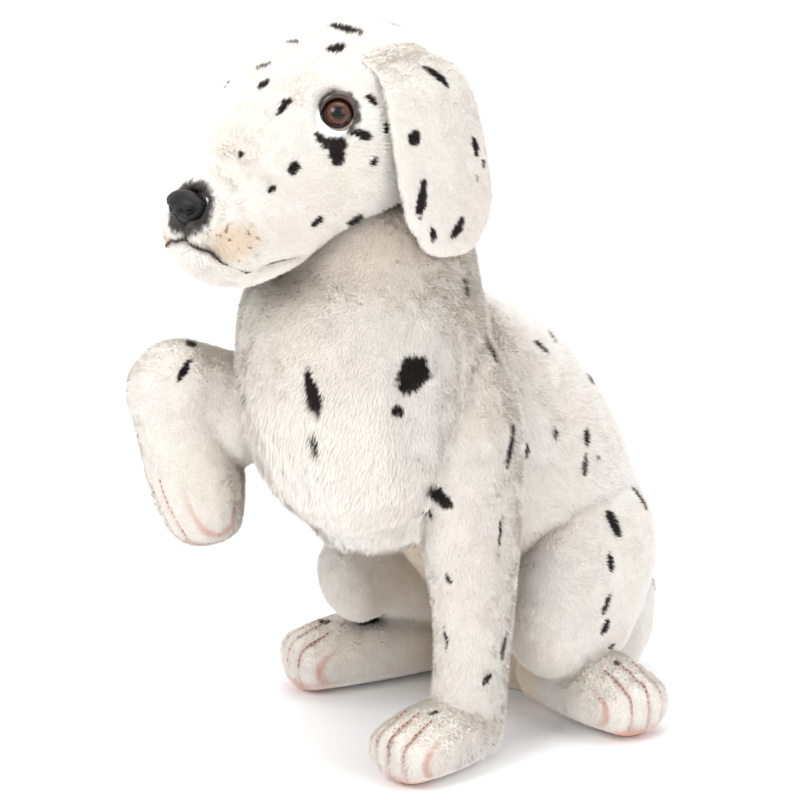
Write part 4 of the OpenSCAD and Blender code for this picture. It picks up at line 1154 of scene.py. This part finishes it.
lids = {}
for name, side in (("left", both_sides[0]), ("right", both_sides[1])):
    lids[name] = lid_roll(f"{name}_upper_lid", side, -46, 168, 8.6, 2.1, 2.6, 2.9)
    lids[name].data.materials.append(lid_finish)
    lower = lid_roll(f"{name}_lower_lid", side, -172, -24, 8.4, 1.0, 1.4, 1.2)
    lower.data.materials.append(lash_finish)
    lids[name + "_lower"] = lower
    eye = nodes[f"{name}_eye"]
    centre = placed(np.array(EYE) * side)[0]
    gloss = eye_finish(f"{name}_eye_gloss", centre, HEAD_AXES @ unit(np.array(EYE_OUT) * side))
    for slot in eye.material_slots:
        slot.material = gloss

# %% The nose, moulded in one with its nostrils
bm = bmesh.new()
bmesh.ops.create_icosphere(bm, subdivisions=5, radius=1)
ball = np.array([v.co[:] for v in bm.verts])
wide = 1 + 0.16 * ball[:, 2]
form = ball * (12.6, 8.6, 9.4)
form[:, 0] *= wide
form[:, 1] -= 1.6 * ramp(ball[:, 2], -0.2, 0.9)
for sign in (-1, 1):
    comma = np.array([(sign * 4.4, -8, 0.6), (sign * 6.4, -8, -0.6),
                      (sign * 8.6, -6, 0.2), (sign * 10, -4, 1.8)])
    away = line_distance(form * (1, 0.4, 1), comma * (1, 0.4, 1))
    form[:, 1] += 3.4 * np.exp(-(away / 1.4) ** 2) * (form[:, 1] < 0)
    form += unit(form) * (0.4 * np.exp(-((away - 2.8) / 1.2) ** 2))[:, None]
groove = np.exp(-(form[:, 0] / 0.9) ** 2) * ramp(-form[:, 2], 0, 3) * (form[:, 1] < 0)
form[:, 1] += 1.5 * groove
for v, p in zip(bm.verts, placed(form + (0, -110, -12))):
    v.co = p
nose_mesh = bpy.data.meshes.new("sculpted_nose")
bm.to_mesh(nose_mesh)
bm.free()
nose_mesh.shade_smooth()
nose_mesh.materials.append(nose_finish)
sculpted_nose = new_piece("sculpted_nose", nose_mesh)
print("nose:", len(nose_mesh.polygons), "faces")

# %% [markdown]
# ## Stitches
#
# Thread is what makes the toes and the mouth, so it is laid on as thread. A
# small Geometry Nodes tree follows a line and lays one short rounded stitch
# after another along it.

# %% The stitch tree
stitch_tree = bpy.data.node_groups.new("stitches", "GeometryNodeTree")
sockets(stitch_tree, ("Line", "Geometry", None), ("Spacing", "Float", 0.003), ("Stitch", "Float", 0.0026),
        ("Thread", "Float", 0.0005), ("Finish", "Material", None))
stitch_tree.interface.new_socket("Thread laid", in_out="OUTPUT", socket_type="NodeSocketGeometry")
link = stitch_tree.links.new
given = node(stitch_tree, "NodeGroupInput").outputs
as_curve = node(stitch_tree, "GeometryNodeMeshToCurve")
link(given["Line"], as_curve.inputs[0])
points = node(stitch_tree, "GeometryNodeCurveToPoints", mode="LENGTH")
link(as_curve.outputs[0], points.inputs["Curve"])
link(given["Spacing"], points.inputs["Length"])
grain = node(stitch_tree, "GeometryNodeMeshUVSphere")
grain.inputs["Segments"].default_value, grain.inputs["Rings"].default_value = 8, 6
grain.inputs["Radius"].default_value = 1
turn = node(stitch_tree, "FunctionNodeAlignRotationToVector", axis="X")
link(points.outputs["Tangent"], turn.inputs["Vector"])
size = node(stitch_tree, "ShaderNodeCombineXYZ")
link(sums(stitch_tree, "MULTIPLY", given["Stitch"], 0.5), size.inputs[0])
link(given["Thread"], size.inputs[1])
link(given["Thread"], size.inputs[2])
lay = node(stitch_tree, "GeometryNodeInstanceOnPoints")
for made, socket in ((points.outputs["Points"], "Points"), (grain.outputs[0], "Instance"),
                     (turn.outputs[0], "Rotation"), (size.outputs[0], "Scale")):
    link(made, lay.inputs[socket])
real = node(stitch_tree, "GeometryNodeRealizeInstances")
link(lay.outputs[0], real.inputs[0])
dye = node(stitch_tree, "GeometryNodeSetMaterial")
link(real.outputs[0], dye.inputs["Geometry"])
link(given["Finish"], dye.inputs["Material"])
link(dye.outputs[0], node(stitch_tree, "NodeGroupOutput").inputs[0])


def stitched(name, lines, material, spacing_mm=3.0, stitch_mm=2.8, thread_mm=0.5):
    """Lines of stitches as one plain mesh. Each line is an array of places in metres."""
    mesh = bpy.data.meshes.new(name)
    points, edges = [], []
    for line in lines:
        edges += [(len(points) + k, len(points) + k + 1) for k in range(len(line) - 1)]
        points += [tuple(p) for p in line]
    mesh.from_pydata(points, edges, [])
    piece = new_piece(name, mesh)
    sew = piece.modifiers.new("stitches", "NODES")
    sew.node_group = stitch_tree
    for title, value in (("Spacing", spacing_mm * MM), ("Stitch", stitch_mm * MM), ("Thread", thread_mm * MM),
                         ("Finish", material)):
        set_input(sew, title, value)
    plain_mesh(piece)
    piece.data.materials.clear()
    piece.data.materials.append(material)
    piece.data.shade_smooth()
    print(f"{name}: {len(piece.data.polygons)} faces")
    return piece


def on_coat(coat, line, out_mm, aims=None):
    """Lays a line down onto a coat, out_mm above it: at the nearest place, or along rays to aims."""
    tree = BVHTree.FromObject(coat, bpy.context.evaluated_depsgraph_get())
    laid = []
    for k, p in enumerate(line):
        if aims is None:
            spot, normal = tree.find_nearest(Vector(p))[:2]
        else:
            spot, normal = tree.ray_cast(Vector(p), Vector(aims[k] - p))[:2]
        near = spot is not None and (aims is None or (spot - Vector(aims[k])).length < 0.029)
        if near:
            laid.append(np.array(spot) + np.array(normal) * out_mm * MM)
    return np.array(laid)


# %% Toe stitches and the mouth
toe_threads = {}
for name, coat in (("left_fore", body_coat), ("left_hind", body_coat), ("right_hind", body_coat),
                   ("raised", leg_coat)):
    lines = [on_coat(coat, starts, 1.3, aims) for starts, aims in toe_lines(PAWS[name])]
    toe_threads[name] = stitched(f"{name}_toe_stitches", lines, thread_finish)
mouth_lines = [on_coat(head_coat, placed(MOUTH * side), 1.7) for side in both_sides]
mouth_thread = stitched("mouth_stitches", mouth_lines, mouth_finish, 2.2, 2.6, 0.75)

# %% The round patch that closes the seat
middle = (patch_low + patch_high) / 2
bm = bmesh.new()
rings, spokes, edge_mm = 10, 64, 33
loops = []
for bottom in (True, False):
    for r in range(rings + 1):
        reach = edge_mm * r / rings if bottom else edge_mm * (1 - r / rings)
        height = 0.05 + 0.55 * (reach / edge_mm) ** 6 if bottom else 1.5 - 0.6 * (reach / edge_mm) ** 2
        loops.append([bm.verts.new((middle[0] + reach * MM * math.cos(a),
                                    middle[1] + reach * MM * math.sin(a), height * MM))
                      for a in np.linspace(0, 2 * math.pi, spokes, endpoint=False)])
for a, b in zip(loops[:-1], loops[1:]):
    for k in range(spokes):
        n = (k + 1) % spokes
        bm.faces.new((a[k], b[k], b[n], a[n]))
bmesh.ops.remove_doubles(bm, verts=bm.verts, dist=1e-6)
bmesh.ops.recalc_face_normals(bm, faces=bm.faces)
patch_mesh = bpy.data.meshes.new("seat_patch_cloth")
bm.to_mesh(patch_mesh)
bm.free()
patch_mesh.shade_smooth()
patch_mesh.materials.append(INSIDE["seat_cloth"])
seat_patch_cloth = new_piece("seat_patch_cloth", patch_mesh)
rim = np.array([(middle[0] + 31 * MM * math.cos(a), middle[1] + 31 * MM * math.sin(a), 0.7 * MM)
                for a in np.linspace(0, 2 * math.pi, 90)])
patch_thread = stitched("seat_patch_stitches", [rim], thread_finish, 4.0, 3.2, 0.45)

# %% [markdown]
# ## What each piece moves with
#
# Pieces ride on the record's bodies. The ears bend where they are sewn on,
# and the raised leg bends at its knee. Their coats ride on no body: they stay
# where they are in the frame.

# %% Ride, and hide the CAD parts that new pieces stand for
def settle(pieces, body=None, bend=None):
    for piece in pieces:
        if bend:
            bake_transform(piece)
        else:
            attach(piece, body)


COATS = {
    "torso": (body_coat, body_pile, BODY_PANELS[:6]),
    "head": (head_coat, head_pile, HEAD_PANELS),
    "tail": (tail_coat, tail_pile, ["tail_skin"]),
}
for body, (coat, piles, stands_for) in COATS.items():
    settle([coat, *piles], body)
    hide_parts(*stands_for)
for name, coat in (("left_ear", left_ear_coat), ("right_ear", right_ear_coat)):
    top = pivot[f"{name}_lift"]
    settle([coat, *ear_piles[name]], bend=("head", name, top, top - (0, 0, 0.014)))
    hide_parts(f"{name}_outer", f"{name}_lining")
along_leg = unit((-0.28, -0.51, -0.82))
settle([leg_coat, *leg_pile], bend=("right_foreleg", "right_forepaw", KNEE + 0.014 * along_leg,
                                    KNEE + 0.040 * along_leg))
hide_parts("raised_upper_skin", "raised_lower_skin")
for name, lid in lids.items():
    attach(lid, "head")
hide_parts("left_eyelid")
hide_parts("right_eyelid")
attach(sculpted_nose, "head")
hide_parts("nose")
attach(mouth_thread, "head")
for name, thread in toe_threads.items():
    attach(thread, "right_forepaw" if name == "raised" else "torso")
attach(seat_patch_cloth, "torso")
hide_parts("seat_patch")
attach(patch_thread, "torso")

# %% Every CAD part that stays gets its finish
for name, piece in nodes.items():
    if name in ("left_eye", "right_eye"):
        continue
    for slot in piece.material_slots:
        key = slot.material.name.split(".")[0] if slot.material else ""
        found = [m for k, m in INSIDE.items() if key.startswith(k)]
        if found:
            slot.material = found[0]
        else:
            print("no finish for", name, key)

# %% [markdown]
# ## Table, light and camera
#
# A pale table in a pale room, one large soft light in front, and weaker ones
# at the side and above. The camera stands far off, so that the
# head doesn't look bigger than it is.

# %% A pale table top
bm = bmesh.new()
rings = [[bm.verts.new((r * math.cos(a), r * math.sin(a), -0.0002))
          for a in np.linspace(0, 2 * math.pi, 48, endpoint=False)] for r in (1.0, 4.0, 12.0)]
bm.faces.new(rings[0])
for a, b in zip(rings[:-1], rings[1:]):
    for k in range(48):
        n = (k + 1) % 48
        bm.faces.new((a[k], b[k], b[n], a[n]))
table_mesh = bpy.data.meshes.new("table_top")
bm.to_mesh(table_mesh)
bm.free()
table_mesh.materials.append(finish("table_paper", (0.93, 0.93, 0.93), 0.9, 4, 0.985, 1.01))
table_top = new_piece("table_top", table_mesh)


# %% Lights and camera
def softbox(name, place, size, power, colour=(1, 1, 1)):
    lamp = bpy.data.lights.new(name, "AREA")
    lamp.shape, lamp.size, lamp.energy, lamp.color = "SQUARE", size, power, colour
    stand = bpy.data.objects.new(name, lamp)
    bpy.context.scene.collection.objects.link(stand)
    stand.location = place
    stand.rotation_euler = (Vector(place) - Vector((0, -0.12, 0.2))).to_track_quat("Z", "Y").to_euler()


softbox("key_light", (-0.2, -1.9, 1.5), 1.1, 25, (1.0, 0.985, 0.96))
softbox("side_light", (1.9, -0.4, 1.1), 1.2, 10, (0.97, 0.98, 1.0))
softbox("top_light", (0.1, 0.2, 2.0), 1.6, 14)
world = bpy.data.worlds.new("studio")
world.use_nodes = True
world.node_tree.nodes["Background"].inputs["Color"].default_value = (0.96, 0.97, 1.0, 1)
world.node_tree.nodes["Background"].inputs["Strength"].default_value = 1.05
bpy.context.scene.world = world
bpy.context.scene.view_settings.view_transform = "Standard"
lens = bpy.data.cameras.new("camera")
lens.lens, lens.sensor_width = 203.6, 36
camera = bpy.data.objects.new("camera", lens)
bpy.context.scene.collection.objects.link(camera)
target = Vector((0, -0.146, 0.198))
swing, tilt = math.radians(35), math.radians(15)
camera.location = target + 2.5 * Vector((math.sin(swing) * math.cos(tilt), -math.cos(swing) * math.cos(tilt),
                                         math.sin(tilt)))
camera.rotation_euler = (camera.location - target).to_track_quat("Z", "Y").to_euler()
bpy.context.scene.camera = camera

# %% The end
bpy.context.view_layer.update()
